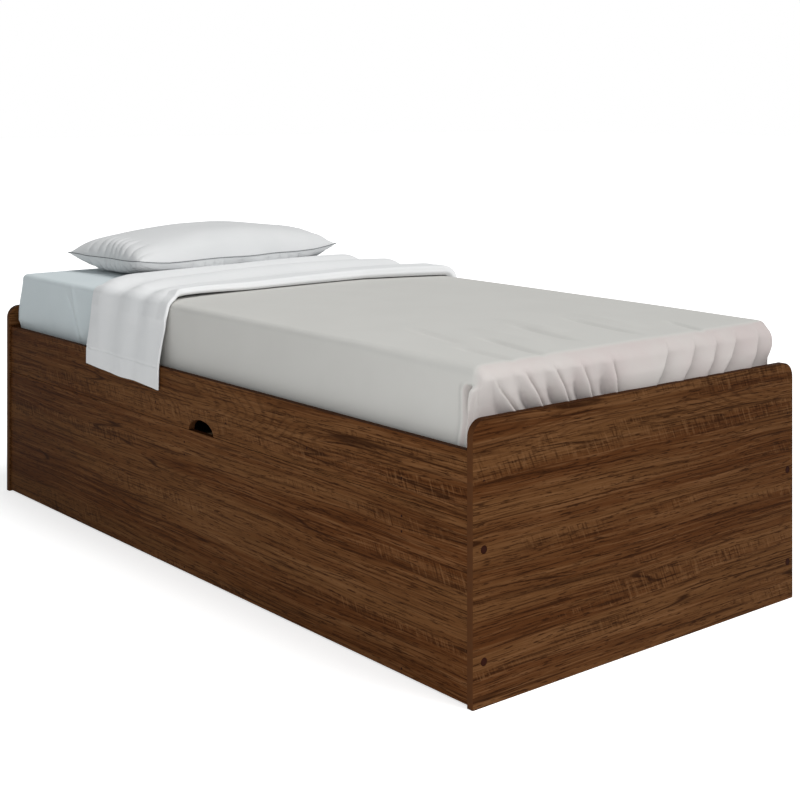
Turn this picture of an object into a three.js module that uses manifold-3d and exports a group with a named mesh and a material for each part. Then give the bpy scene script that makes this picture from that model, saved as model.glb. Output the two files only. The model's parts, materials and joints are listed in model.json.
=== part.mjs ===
// Single storage bed: two panel ends, a fixed top rail with a finger notch, a full-length drawer on
// wheels below it, a slat base, and a made-up mattress with a pillow.
// Millimetres, +Z up. The origin is on the floor under the middle of the bed, +X points to the foot
// end, and the side that the drawer opens to is at -Y.
import * as THREE from 'three';
import { mergeVertices } from 'three/addons/utils/BufferGeometryUtils.js';
import Module from 'manifold-3d';

const wasm = await Module();
wasm.setup();

// Mattress
const MATTRESS_LENGTH = 1880;
const MATTRESS_WIDTH = 880;
const MATTRESS_HEIGHT = 200;
const MATTRESS_END_GAP = 5;
const MATTRESS_FRONT_GAP = 1;
const MATTRESS_REAR_GAP = 4.3;
const MATTRESS_CORNER = 48;
const MATTRESS_EDGE = 28;
const MATTRESS_CROWN = 3;

// Boards and their places
const BOARD = 15;
const END_PANEL_HEIGHT = 514;
const END_CORNER_RADIUS = 32;
const FRONT_RECESS = 4.5;
const REAR_RECESS = 10.2;
const FLOOR_GAP = 4;
const DRAWER_FRONT_HEIGHT = 328;
const SEAM_GAP = 1;
const RAIL_HEIGHT = 124;
const POST_WIDTH = 60;
const POST_BELOW_RAIL_TOP = 32;

// Finger notch in the lower edge of the rail
const NOTCH_WIDTH = 104;
const NOTCH_HEIGHT = 29;
const NOTCH_OFFSET = 49;

// Slat base
const CLEAT = 21;
const SLAT_COUNT = 12;
const SLAT_WIDTH = 68;
const SLAT_THICKNESS = 18;
const SLAT_END_MARGIN = 30;
const SLAT_SIDE_GAP = 2;

// Bolts that join the end panels to the long sides, each under a cover cap
const FIT = 0.3;
const BOLT_LEVELS = { low: 81, high: 281 };
const BOLT_SHANK = 6.4;
const BOLT_LENGTH = 48;
const CAP_DIAMETER = 15;
const CAP_HEIGHT = 4;
const CAP_CHAMFER = 0.8;
const CUTTER_PASS = 1;

// Drawer box
const DRAWER_BOX_INSET = 178.5;
const DRAWER_REAR_GAP = 85.6;
const DRAWER_BOX_HEIGHT = 307;
const DRAWER_END_GAP = 1.5;
const DRAWER_STOP_GAP = 0.3;
const DIVIDER_OFFSET = -22;
const DRAWER_BOTTOM = 12;
const BEARER_WIDTH = 54;
const BEARER_HEIGHT = 20;

// Casters under the drawer
const WHEEL_DIAMETER = 40;
const WHEEL_WIDTH = 17;
const WHEEL_CLEARANCE = 4;
const WHEEL_SIDE_GAP = 1.2;
const HUB_DIAMETER = 16;
const HUB_RECESS = 2.5;
const WHEEL_RIM = 5;
const WHEEL_CHAMFER = 1.5;
const AXLE_DIAMETER = 6;
const AXLE_FIT = 0.08;
const AXLE_HEAD = 10;
const AXLE_HEAD_HEIGHT = 2;
const FORK_SHEET = 2;
const FORK_PLATE_LENGTH = 62;
const FORK_PLATE_WIDTH = 42;
const FORK_CHEEK_TOP = 34;
const FORK_CHEEK_BOTTOM = 14;
const CASTER_INSET = 90;

// Sheets and cover, which follow the mattress in layers
const FITTED_SHEET = 1;
const COVER = 1.4;
const LAYER_GAP = 0.4;
const TUCK_BELOW_RAIL = 17;
const COVER_FROM_HEAD = 460;
const FITTED_UNDER_COVER = 100;
const GATHER_COUNT = 13;
const GATHER_DEPTH = 10;
const GATHER_CLEARANCE = 3;

// Top sheet, folded back across the bed and hanging over the rail. Places are from the head end
const FLAP_TOP_HEAD = 292;
const FLAP_TOP_FOOT = 750;
const FLAP_HANG_HEAD = 446;
const FLAP_HANG_FOOT = 802;
const FLAP_BLEND = 150;
const FLAP_CLOTH = 3;
const FLAP_RIDGE_FRONT = 6;
const FLAP_RIDGE_REAR = 20;
const FLAP_RIDGES = 3;
const FLAP_BELOW_RAIL = 42;
const FLAP_SLANT = 13;
const FLAP_FOLD_DEPTH = 8;
const FLAP_REAR_DROP = 130;
const FLAP_SLANT_START = 0.7;

// Pillow
const PILLOW_LENGTH = 694;
const PILLOW_WIDTH = 374;
const PILLOW_ABOVE_SEAM = 83;
const PILLOW_BELOW_SEAM = 46;
const PILLOW_TURN = 3.6;
const PILLOW_FROM_HEAD = 168.5;
const PILLOW_OFFSET = 55;
const PILLOW_DRAW_IN = 16;
const PILLOW_TIP_RISE = 8;
const PILLOW_SQUARENESS = { across: 2.2, along: 2.6 };
const PILLOW_FULLNESS = 0.6;
const PILLOW_FLATTENED = 1.12;

// Fineness of the grids, arcs and turned pieces
const BOLT_SIDES = 14;
const AXLE_SIDES = 12;
const WHEEL_SIDES = 24;
const FORM_COUNTS = [8, 6, 2];
const COVER_COUNT = 6;
const EDGE_SHARE = 0.3;
const GATHER_SHARES = [0, 0.35, 0.7];
const LEAST_STEP = 3;
const HANG_COUNT = 3;
const TOP_COUNT = 8;
const BEND_SHARES = [0.4, 0.5, 0.7];
const RIDGE_COUNT = 6;
const PILLOW_COUNTS = [14, 20];
const WELD = 1e-4;

// Levels
const railBottom = FLOOR_GAP + DRAWER_FRONT_HEIGHT + SEAM_GAP;
const railTop = railBottom + RAIL_HEIGHT;
const cleatBottom = railBottom + NOTCH_HEIGHT;
const slatBottom = cleatBottom + CLEAT;
const mattressBottom = slatBottom + SLAT_THICKNESS;
const mattressTop = mattressBottom + MATTRESS_HEIGHT;

// Places along the bed
const innerHalf = MATTRESS_LENGTH / 2 + MATTRESS_END_GAP;
const outerHalf = innerHalf + BOARD;
const mattressHead = -MATTRESS_LENGTH / 2;

// Places across the bed, from the front edge of the end panels to their rear edge
const bayWidth = MATTRESS_FRONT_GAP + MATTRESS_WIDTH + MATTRESS_REAR_GAP;
const halfWidth = (FRONT_RECESS + 2 * BOARD + bayWidth + BOARD + REAR_RECESS) / 2;
const railFront = -halfWidth + FRONT_RECESS;
const railBack = railFront + BOARD;
const postBack = railBack + BOARD;
const rearOuter = halfWidth - REAR_RECESS;
const rearInner = rearOuter - BOARD;
const mattressFront = postBack + MATTRESS_FRONT_GAP;
const mattressRear = mattressFront + MATTRESS_WIDTH;
const mattressMiddle = (mattressFront + mattressRear) / 2;
const drawerFrontFace = railFront - DRAWER_STOP_GAP;
const drawerFrontBack = drawerFrontFace + BOARD;

const bed = new THREE.Group();

// Materials
const material = (color, roughness, metalness = 0) =>
  new THREE.MeshStandardMaterial({ color, roughness, metalness });
const printedWood = material(0x54361f, 0.55);
const rawBoard = material(0xb99a6e, 0.8);
const slatWood = material(0xc9a873, 0.75);
const darkPlastic = material(0x2a1a10, 0.5);
const steel = material(0x9a9a98, 0.35, 1);
const nylon = material(0x2b2b2d, 0.45);
const whiteCotton = material(0xe9eaec, 0.9);
const blueWhiteCotton = material(0xc9d2d8, 0.9);
const greyCotton = material(0xbab8b2, 0.9);
const ticking = material(0xe4e2dc, 0.9);

function addNode(name, geometry, look, parent = bed) {
  const mesh = new THREE.Mesh(geometry, look);
  mesh.name = name;
  parent.add(mesh);
  return mesh;
}

// Basic solids, each given by its lowest and highest corner or by its axis
function block(x0, x1, y0, y1, z0, z1) {
  const geometry = new THREE.BoxGeometry(x1 - x0, y1 - y0, z1 - z0);
  return geometry.translate((x0 + x1) / 2, (y0 + y1) / 2, (z0 + z1) / 2);
}

// An outline in Y and Z, made into a board along X
function extrudeAlongX(shape, x0, x1, segments = 6) {
  const settings = { depth: x1 - x0, bevelEnabled: false, curveSegments: segments };
  const turn = new THREE.Matrix4().set(0, 0, 1, x0, 1, 0, 0, 0, 0, 1, 0, 0, 0, 0, 0, 1);
  return new THREE.ExtrudeGeometry(shape, settings).applyMatrix4(turn);
}

// An outline in X and Z, made into a board along Y
function extrudeAlongY(shape, y0, y1, segments = 12) {
  const settings = { depth: y1 - y0, bevelEnabled: false, curveSegments: segments };
  const turn = new THREE.Matrix4().set(1, 0, 0, 0, 0, 0, -1, y1, 0, 1, 0, 0, 0, 0, 0, 1);
  return new THREE.ExtrudeGeometry(shape, settings).applyMatrix4(turn);
}

// A turned piece from points of radius and distance, along a direction from a starting point
function turned(profile, start, direction, sides) {
  const points = profile.map(([radius, distance]) => new THREE.Vector2(radius, distance));
  const geometry = new THREE.LatheGeometry(points, sides);
  const turn = new THREE.Quaternion().setFromUnitVectors(new THREE.Vector3(0, 1, 0), direction);
  return geometry.applyQuaternion(turn).translate(start.x, start.y, start.z);
}

function rod(radius, length, start, direction, sides) {
  return turned([[0, 0], [radius, 0], [radius, length], [0, length]], start, direction, sides);
}

// Booleans
function toManifold(geometry) {
  const bare = geometry.clone();
  bare.deleteAttribute('normal');
  bare.deleteAttribute('uv');
  const merged = mergeVertices(bare, WELD);
  const triangles = [];
  for (let i = 0; i < merged.index.count; i += 3) {
    const [a, b, c] = [merged.index.getX(i), merged.index.getX(i + 1), merged.index.getX(i + 2)];
    if (a !== b && b !== c && c !== a) triangles.push(a, b, c);
  }
  const mesh = new wasm.Mesh({
    numProp: 3,
    vertProperties: new Float32Array(merged.attributes.position.array),
    triVerts: new Uint32Array(triangles),
  });
  return new wasm.Manifold(mesh);
}

function toGeometry(manifold) {
  const mesh = manifold.getMesh();
  const geometry = new THREE.BufferGeometry();
  geometry.setAttribute('position', new THREE.BufferAttribute(new Float32Array(mesh.vertProperties), 3));
  geometry.setIndex(new THREE.BufferAttribute(new Uint32Array(mesh.triVerts), 1));
  geometry.computeVertexNormals();
  return geometry;
}

function cut(geometry, tools) {
  let solid = toManifold(geometry);
  for (const tool of tools) solid = solid.subtract(toManifold(tool));
  return toGeometry(solid);
}

// End panels, with the bolts that go through them into the posts and the rear panel
const alongX = new THREE.Vector3(1, 0, 0);
const boltLines = { front: postBack - BOARD / 2, rear: rearInner + BOARD / 2 };

function endPanelShape() {
  const shape = new THREE.Shape();
  const top = END_PANEL_HEIGHT - END_CORNER_RADIUS;
  const side = halfWidth - END_CORNER_RADIUS;
  shape.moveTo(-halfWidth, 0);
  shape.lineTo(halfWidth, 0);
  shape.lineTo(halfWidth, top);
  shape.absarc(side, top, END_CORNER_RADIUS, 0, Math.PI / 2);
  shape.lineTo(-side, END_PANEL_HEIGHT);
  shape.absarc(-side, top, END_CORNER_RADIUS, Math.PI / 2, Math.PI);
  return shape;
}

// The cap lies flush in the panel, and the shank is pressed into it from below
const boltProfile = [
  [0, 0], [CAP_DIAMETER / 2 - CAP_CHAMFER, 0], [CAP_DIAMETER / 2, CAP_CHAMFER],
  [CAP_DIAMETER / 2, CAP_HEIGHT], [BOLT_SHANK / 2, CAP_HEIGHT],
  [BOLT_SHANK / 2, BOLT_LENGTH], [0, BOLT_LENGTH],
];
const capBore = CAP_DIAMETER / 2 + FIT;
const shankBore = BOLT_SHANK / 2 + FIT;
const boreProfile = [
  [0, -CUTTER_PASS], [capBore, -CUTTER_PASS], [capBore, CAP_HEIGHT + FIT],
  [shankBore, CAP_HEIGHT + FIT], [shankBore, BOLT_LENGTH + FIT], [0, BOLT_LENGTH + FIT],
];

const bolts = [];
for (const [end, side] of [['head', -1], ['foot', 1]]) {
  for (const [line, y] of Object.entries(boltLines)) {
    for (const [level, z] of Object.entries(BOLT_LEVELS)) {
      const start = new THREE.Vector3(side * outerHalf, y, z);
      const inward = alongX.clone().multiplyScalar(-side);
      bolts.push({ name: `frame_bolt_${end}_${line}_${level}`, end, line, start, inward });
    }
  }
}
const boltForm = (profile, bolt) => turned(profile, bolt.start, bolt.inward, BOLT_SIDES);
const boltBores = (keep) => bolts.filter(keep).map((bolt) => boltForm(boreProfile, bolt));

for (const [end, side] of [['head', -1], ['foot', 1]]) {
  const [x0, x1] = [side * innerHalf, side * outerHalf].sort((a, b) => a - b);
  const board = extrudeAlongX(endPanelShape(), x0, x1);
  addNode(`${end}board`, cut(board, boltBores((bolt) => bolt.end === end)), printedWood);
}
for (const bolt of bolts) addNode(bolt.name, boltForm(boltProfile, bolt), darkPlastic);

// Long sides: rail with the finger notch, rear panel, posts and cleats
function railShape() {
  const shape = new THREE.Shape();
  shape.moveTo(-innerHalf, railBottom);
  shape.lineTo(NOTCH_OFFSET - NOTCH_WIDTH / 2, railBottom);
  shape.absellipse(NOTCH_OFFSET, railBottom, NOTCH_WIDTH / 2, NOTCH_HEIGHT, Math.PI, 0, true);
  shape.lineTo(innerHalf, railBottom);
  shape.lineTo(innerHalf, railTop);
  shape.lineTo(-innerHalf, railTop);
  return shape;
}
addNode('front_rail', extrudeAlongY(railShape(), railFront, railBack), printedWood);

const rearPanel = block(-innerHalf, innerHalf, rearInner, rearOuter, FLOOR_GAP, railTop);
addNode('rear_panel', cut(rearPanel, boltBores((bolt) => bolt.line === 'rear')), printedWood);

const postTop = railTop - POST_BELOW_RAIL_TOP;
for (const [end, side] of [['head', -1], ['foot', 1]]) {
  const [x0, x1] = [side * innerHalf, side * (innerHalf - POST_WIDTH)].sort((a, b) => a - b);
  const post = block(x0, x1, railBack, postBack, FLOOR_GAP, postTop);
  const bores = boltBores((bolt) => bolt.line === 'front' && bolt.end === end);
  addNode(`front_post_${end}`, cut(post, bores), rawBoard);
}

const cleatHalf = innerHalf - POST_WIDTH - FIT;
for (const [name, y0] of [['front_cleat', railBack], ['rear_cleat', rearInner - CLEAT]]) {
  addNode(name, block(-cleatHalf, cleatHalf, y0, y0 + CLEAT, cleatBottom, slatBottom), slatWood);
}

// Slats lie across the two cleats
const slatSpan = 2 * cleatHalf - SLAT_WIDTH - 2 * SLAT_END_MARGIN;
for (let i = 0; i < SLAT_COUNT; i += 1) {
  const x = (i / (SLAT_COUNT - 1) - 0.5) * slatSpan;
  const slat = block(
    x - SLAT_WIDTH / 2, x + SLAT_WIDTH / 2, railBack + SLAT_SIDE_GAP, rearInner - SLAT_SIDE_GAP,
    slatBottom, mattressBottom);
  addNode(`slat_${String(i + 1).padStart(2, '0')}`, slat, slatWood);
}

// Drawer: full-length front, two sides, a divider, a back and two bottoms on bearers
const drawer = new THREE.Group();
bed.add(drawer);

const frontHalf = innerHalf - DRAWER_END_GAP;
const boxHalf = frontHalf - DRAWER_BOX_INSET;
const boxBottom = FLOOR_GAP;
const boxTop = boxBottom + DRAWER_BOX_HEIGHT;
const backFront = rearInner - DRAWER_REAR_GAP - BOARD;
const uprights = {
  drawer_side_head: [-boxHalf, -boxHalf + BOARD],
  drawer_divider: [DIVIDER_OFFSET - BOARD / 2, DIVIDER_OFFSET + BOARD / 2],
  drawer_side_foot: [boxHalf - BOARD, boxHalf],
};
const frontTop = FLOOR_GAP + DRAWER_FRONT_HEIGHT;
const drawerFront = block(-frontHalf, frontHalf, drawerFrontFace, drawerFrontBack, FLOOR_GAP, frontTop);
addNode('drawer_front', drawerFront, printedWood, drawer);
for (const [name, [x0, x1]] of Object.entries(uprights)) {
  addNode(name, block(x0, x1, drawerFrontBack, backFront, boxBottom, boxTop), rawBoard, drawer);
}
const drawerBack = block(-boxHalf, boxHalf, backFront, backFront + BOARD, boxBottom, boxTop);
addNode('drawer_back', drawerBack, rawBoard, drawer);

const plateUnder = WHEEL_DIAMETER + WHEEL_CLEARANCE;
const bearerBottom = plateUnder + FORK_SHEET;
const bearerTop = bearerBottom + BEARER_HEIGHT;
const compartments = {
  head: [uprights.drawer_side_head[1], uprights.drawer_divider[0]],
  foot: [uprights.drawer_divider[1], uprights.drawer_side_foot[0]],
};
for (const [name, [x0, x1]] of Object.entries(compartments)) {
  const bottom = block(x0, x1, drawerFrontBack, backFront, bearerTop, bearerTop + DRAWER_BOTTOM);
  addNode(`drawer_bottom_${name}`, bottom, rawBoard, drawer);
  for (const [end, a] of [['low', x0], ['high', x1 - BEARER_WIDTH]]) {
    const bearer = block(a, a + BEARER_WIDTH, drawerFrontBack, backFront, bearerBottom, bearerTop);
    addNode(`drawer_bearer_${name}_${end}`, bearer, slatWood, drawer);
  }
}

// Fixed casters: a folded steel fork, an axle and a moulded wheel, so that the drawer rolls along Y
const wheelRadius = WHEEL_DIAMETER / 2;
const cheekInner = WHEEL_WIDTH / 2 + WHEEL_SIDE_GAP;
const cheekOuter = cheekInner + FORK_SHEET;
const casterLine = boxHalf - BOARD - BEARER_WIDTH / 2;
const casterPlaces = {
  head_front: [-casterLine, drawerFrontBack + CASTER_INSET],
  head_rear: [-casterLine, backFront - CASTER_INSET],
  foot_front: [casterLine, drawerFrontBack + CASTER_INSET],
  foot_rear: [casterLine, backFront - CASTER_INSET],
};

// The cheek narrows from the plate down to a round end about the axle
function cheekShape() {
  const shape = new THREE.Shape();
  const end = FORK_CHEEK_BOTTOM / 2;
  shape.moveTo(-FORK_CHEEK_TOP / 2, plateUnder + FORK_SHEET / 2);
  shape.lineTo(-end, wheelRadius);
  shape.absarc(0, wheelRadius, end, Math.PI, 2 * Math.PI);
  shape.lineTo(FORK_CHEEK_TOP / 2, plateUnder + FORK_SHEET / 2);
  return shape;
}

function fork() {
  const [halfX, halfY] = [FORK_PLATE_WIDTH / 2, FORK_PLATE_LENGTH / 2];
  const plate = block(-halfX, halfX, -halfY, halfY, plateUnder, bearerBottom);
  const reach = cheekOuter + CUTTER_PASS;
  const start = new THREE.Vector3(-reach, 0, wheelRadius);
  const bore = rod(AXLE_DIAMETER / 2 + FIT, 2 * reach, start, alongX, AXLE_SIDES);
  let solid = toManifold(plate);
  for (const x0 of [-cheekOuter, cheekInner]) {
    solid = solid.add(toManifold(extrudeAlongX(cheekShape(), x0, x0 + FORK_SHEET)));
  }
  return toGeometry(solid.subtract(toManifold(bore)));
}

// The tread has chamfered edges, and the web is set back between the hub and the rim
function wheelProfile() {
  const bore = AXLE_DIAMETER / 2 + AXLE_FIT;
  const half = WHEEL_WIDTH / 2;
  const web = half - HUB_RECESS;
  const hub = HUB_DIAMETER / 2;
  const rim = wheelRadius - WHEEL_RIM;
  const shoulder = wheelRadius - WHEEL_CHAMFER;
  return [
    [bore, -half], [hub, -half], [hub, -web], [rim, -web], [rim, -half], [shoulder, -half],
    [wheelRadius, -half + WHEEL_CHAMFER], [wheelRadius, half - WHEEL_CHAMFER],
    [shoulder, half], [rim, half], [rim, web], [hub, web], [hub, half], [bore, half], [bore, -half],
  ];
}

function axle() {
  const half = cheekOuter + FIT;
  const radius = AXLE_DIAMETER / 2;
  const head = AXLE_HEAD / 2;
  const profile = [
    [0, -half - AXLE_HEAD_HEIGHT], [head, -half - AXLE_HEAD_HEIGHT], [head, -half], [radius, -half],
    [radius, half], [head, half], [head, half + AXLE_HEAD_HEIGHT], [0, half + AXLE_HEAD_HEIGHT],
  ];
  return turned(profile, new THREE.Vector3(0, 0, wheelRadius), alongX, AXLE_SIDES);
}

for (const [name, [x, y]] of Object.entries(casterPlaces)) {
  const caster = new THREE.Group();
  caster.position.set(x, y, 0);
  drawer.add(caster);
  addNode(`caster_fork_${name}`, fork(), steel, caster);
  addNode(`caster_axle_${name}`, axle(), steel, caster);
  const wheel = turned(wheelProfile(), new THREE.Vector3(0, 0, wheelRadius), alongX, WHEEL_SIDES);
  addNode(`caster_wheel_${name}`, wheel, nylon, caster);
}

// Mattress form: a block with round edges and corners and a crowned top, grown by an offset, so that
// every layer of bedding follows it. The lines say where its grid has points, from the middle outwards
const formHalf = new THREE.Vector3(MATTRESS_LENGTH / 2, MATTRESS_WIDTH / 2, MATTRESS_HEIGHT / 2);
const formMiddle = new THREE.Vector3(0, mattressMiddle, mattressBottom + MATTRESS_HEIGHT / 2);

function evenLines(half, margin, parts) {
  const flat = half - margin;
  const inside = Array.from({ length: parts + 1 }, (_, i) => ((2 * i) / parts - 1) * flat);
  return [-half, -half + margin * EDGE_SHARE, ...inside, half - margin * EDGE_SHARE, half];
}

function crownAt(x, y) {
  return MATTRESS_CROWN * Math.max(0, 1 - (x / formHalf.x) ** 4) * Math.max(0, 1 - (y / formHalf.y) ** 4);
}

// Moves a point of the plain block on to the round one, first in plan and then over the edge
function roundOff(point, offset) {
  const inner = MATTRESS_CORNER - MATTRESS_EDGE;
  const within = (value, limit) => THREE.MathUtils.clamp(value, -limit, limit);
  const insideX = within(point.x, formHalf.x - MATTRESS_CORNER);
  const insideY = within(point.y, formHalf.y - MATTRESS_CORNER);
  const insideZ = within(point.z, formHalf.z - MATTRESS_EDGE);
  const away = new THREE.Vector2(point.x - insideX, point.y - insideY);
  const reach = Math.max(Math.abs(away.x), Math.abs(away.y));
  if (reach > 0) away.normalize();
  const side = Math.max(0, reach - inner) / MATTRESS_EDGE;
  const rise = (point.z - insideZ) / MATTRESS_EDGE;
  const length = Math.hypot(side, rise);
  const scale = length > 0 ? Math.max(side, Math.abs(rise)) / length : 0;
  const outward = length > 0 ? side / length : 0;
  const upward = length > 0 ? rise / length : 0;
  const out = Math.min(reach, inner) + side * scale * MATTRESS_EDGE + offset * outward;
  point.set(
    insideX + away.x * out,
    insideY + away.y * out,
    insideZ + rise * scale * MATTRESS_EDGE + offset * upward,
  );
  if (upward > 0) point.z += crownAt(point.x, point.y) * upward;
}

function mattressForm(offset, lines, shapeOf = () => {}) {
  const geometry = new THREE.BoxGeometry(2, 2, 2, ...lines.map((line) => line.length - 1));
  const position = geometry.attributes.position;
  const point = new THREE.Vector3();
  for (let i = 0; i < position.count; i += 1) {
    point.fromBufferAttribute(position, i);
    lines.forEach((line, axis) => {
      const step = Math.round(((point.getComponent(axis) + 1) / 2) * (line.length - 1));
      point.setComponent(axis, line[step]);
    });
    roundOff(point, offset);
    point.add(formMiddle);
    shapeOf(point);
    position.setXYZ(i, point.x, point.y, point.z);
  }
  geometry.deleteAttribute('normal');
  geometry.deleteAttribute('uv');
  const closed = mergeVertices(geometry, WELD);
  closed.computeVertexNormals();
  return closed;
}

const plainLines = [
  evenLines(formHalf.x, MATTRESS_CORNER, FORM_COUNTS[0]),
  evenLines(formHalf.y, MATTRESS_CORNER, FORM_COUNTS[1]),
  evenLines(formHalf.z, MATTRESS_EDGE, FORM_COUNTS[2]),
];
addNode('mattress', mattressForm(0, plainLines), ticking);

// A layer of cloth round the form, between two offsets and inside a box
function layer(inner, thickness, lines, keep, shapeOf) {
  const outside = toManifold(mattressForm(inner + thickness, lines, shapeOf));
  const inside = toManifold(mattressForm(inner, lines, shapeOf));
  return toGeometry(outside.subtract(inside).intersect(toManifold(keep)));
}

const hem = railTop - TUCK_BELOW_RAIL;
const above = mattressTop + MATTRESS_HEIGHT;
const fittedInner = LAYER_GAP;
const coverInner = fittedInner + FITTED_SHEET + LAYER_GAP;
const flapInner = coverInner + COVER + LAYER_GAP;

const coverHead = mattressHead + COVER_FROM_HEAD;
const fittedBox = block(-outerHalf, coverHead + FITTED_UNDER_COVER, -halfWidth, halfWidth, hem, above);
addNode('fitted_sheet', layer(fittedInner, FITTED_SHEET, plainLines, fittedBox), blueWhiteCotton);

// The cover is gathered above the footboard, where it goes down between that and the mattress
const gatherFoot = END_PANEL_HEIGHT + GATHER_CLEARANCE;
const gatherFlat = formHalf.z - MATTRESS_EDGE;
const gatherStart = THREE.MathUtils.clamp(
  gatherFoot - formMiddle.z, LEAST_STEP - gatherFlat, gatherFlat - LEAST_STEP);
const coverEdges = evenLines(formHalf.z, MATTRESS_EDGE, 1);
const gatherLines = [
  evenLines(formHalf.x, MATTRESS_CORNER, COVER_COUNT),
  evenLines(formHalf.y, MATTRESS_CORNER, 2 * GATHER_COUNT),
  [
    ...coverEdges.slice(0, 3),
    ...GATHER_SHARES.map((share) => THREE.MathUtils.lerp(gatherStart, gatherFlat, share)),
    ...coverEdges.slice(-3),
  ],
];

function gather(point) {
  const level = (point.z - gatherFoot) / (mattressTop - gatherFoot);
  const atFoot = THREE.MathUtils.smoothstep(point.x, formHalf.x - MATTRESS_EDGE, formHalf.x);
  if (level <= 0 || level >= 1 || atFoot === 0) return;
  const across = (point.y - mattressMiddle) / (formHalf.y - MATTRESS_CORNER);
  if (Math.abs(across) >= 1) return;
  const wave = 0.5 + 0.5 * Math.cos(Math.PI * GATHER_COUNT * (across + 1));
  point.x += GATHER_DEPTH * atFoot * Math.sin(Math.PI * level) * wave;
}
const coverBox = block(coverHead, outerHalf, -halfWidth, halfWidth, hem, above);
addNode('bed_cover', layer(coverInner, COVER, gatherLines, coverBox, gather), greyCotton);

// Top sheet: its cross-section goes from the hem outside the rail up to the edge of the mattress, over
// the top and a little way down the rear side
function topSheetSection() {
  const edge = MATTRESS_EDGE + flapInner;
  const edgeZ = mattressTop - MATTRESS_EDGE;
  const frontY = mattressFront + MATTRESS_EDGE;
  const rearY = mattressRear - MATTRESS_EDGE;
  const hangY = railFront - LAYER_GAP;
  const hangZ = railTop + LAYER_GAP;
  const reach = Math.hypot(frontY - hangY, edgeZ - hangZ);
  const lean = Math.acos(edge / reach) - Math.atan2(edgeZ - hangZ, frontY - hangY);
  const bends = BEND_SHARES.map((share) => (share * Math.PI) / 2);
  const rows = [];
  const add = (y, z, outY, outZ) => rows.push({ y, z, out: new THREE.Vector3(0, outY, outZ).normalize() });
  for (let i = HANG_COUNT; i > 0; i -= 1) add(hangY, railTop - (FLAP_BELOW_RAIL * i) / HANG_COUNT, -1, 0);
  add(hangY, hangZ, -1, Math.tan(lean / 2));
  for (const angle of [lean, ...bends.filter((bend) => bend > lean)]) {
    add(frontY - edge * Math.cos(angle), edgeZ + edge * Math.sin(angle), -Math.cos(angle), Math.sin(angle));
  }
  const flat = formHalf.y - MATTRESS_CORNER;
  for (let i = 0; i <= TOP_COUNT; i += 1) {
    add(mattressMiddle + ((2 * i) / TOP_COUNT - 1) * flat, mattressTop + flapInner, 0, 1);
  }
  for (const angle of [...bends.toReversed(), 0]) {
    add(rearY + edge * Math.cos(angle), edgeZ + edge * Math.sin(angle), Math.cos(angle), Math.sin(angle));
  }
  add(mattressRear + flapInner, mattressTop - FLAP_REAR_DROP, 1, 0);
  return rows;
}

// Closes a grid of points, each with its way out and its thickness, into one solid
function clothSolid(grid) {
  const columns = grid.length;
  const rows = grid[0].length;
  const vertices = [];
  for (const column of grid) {
    for (const { point, out, thickness } of column) {
      vertices.push(...point.clone().addScaledVector(out, thickness).toArray(), ...point.toArray());
    }
  }
  const index = [];
  const at = (i, j, inner) => 2 * (i * rows + j) + inner;
  const quad = (a, b, c, d) => index.push(a, b, c, a, c, d);
  for (let i = 0; i < columns - 1; i += 1) {
    for (let j = 0; j < rows - 1; j += 1) {
      quad(at(i, j, 0), at(i + 1, j, 0), at(i + 1, j + 1, 0), at(i, j + 1, 0));
      quad(at(i, j, 1), at(i, j + 1, 1), at(i + 1, j + 1, 1), at(i + 1, j, 1));
    }
    quad(at(i, 0, 1), at(i + 1, 0, 1), at(i + 1, 0, 0), at(i, 0, 0));
    quad(at(i, rows - 1, 0), at(i + 1, rows - 1, 0), at(i + 1, rows - 1, 1), at(i, rows - 1, 1));
  }
  const last = columns - 1;
  for (let j = 0; j < rows - 1; j += 1) {
    quad(at(0, j, 0), at(0, j + 1, 0), at(0, j + 1, 1), at(0, j, 1));
    quad(at(last, j, 1), at(last, j + 1, 1), at(last, j + 1, 0), at(last, j, 0));
  }
  const geometry = new THREE.BufferGeometry();
  geometry.setAttribute('position', new THREE.Float32BufferAttribute(vertices, 3));
  geometry.setIndex(index);
  geometry.computeVertexNormals();
  return geometry;
}

// The ridges of the folded sheet grow towards the rear, and the last one is full up to the edge
function topSheet() {
  const section = topSheetSection();
  const columns = RIDGE_COUNT * FLAP_RIDGES;
  const drop = mattressTop - railTop + FLAP_BELOW_RAIL;
  const grid = [];
  for (let i = 0; i <= columns; i += 1) {
    const u = i / columns;
    grid.push(section.map(({ y, z, out }) => {
      const inward = THREE.MathUtils.smoothstep(y, mattressFront, mattressFront + FLAP_BLEND);
      const head = THREE.MathUtils.lerp(FLAP_HANG_HEAD, FLAP_TOP_HEAD, inward);
      const foot = THREE.MathUtils.lerp(FLAP_HANG_FOOT, FLAP_TOP_FOOT, inward);
      const x = mattressHead + THREE.MathUtils.lerp(head, foot, u);
      const hanging = THREE.MathUtils.clamp((mattressTop - z) / drop, 0, 1);
      const front = y < mattressMiddle ? hanging : 0;
      const wave = 0.5 - 0.5 * Math.cos(2 * Math.PI * Math.min(FLAP_RIDGES * u, FLAP_RIDGES - 0.5));
      const rearward = THREE.MathUtils.smoothstep(y, mattressFront, mattressRear);
      const ridge = THREE.MathUtils.lerp(FLAP_RIDGE_FRONT, FLAP_RIDGE_REAR, rearward) * wave;
      const point = new THREE.Vector3(x, y, z + (z > mattressTop ? crownAt(x, y - mattressMiddle) : 0));
      point.addScaledVector(out, FLAP_FOLD_DEPTH * front * wave);
      point.z -= FLAP_SLANT * (u - 0.5) * Math.max(0, front - FLAP_SLANT_START) / (1 - FLAP_SLANT_START);
      return { point, out, thickness: FLAP_CLOTH + ridge * (1 - hanging) };
    }));
  }
  return clothSolid(grid);
}
addNode('top_sheet', topSheet(), whiteCotton);

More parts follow.
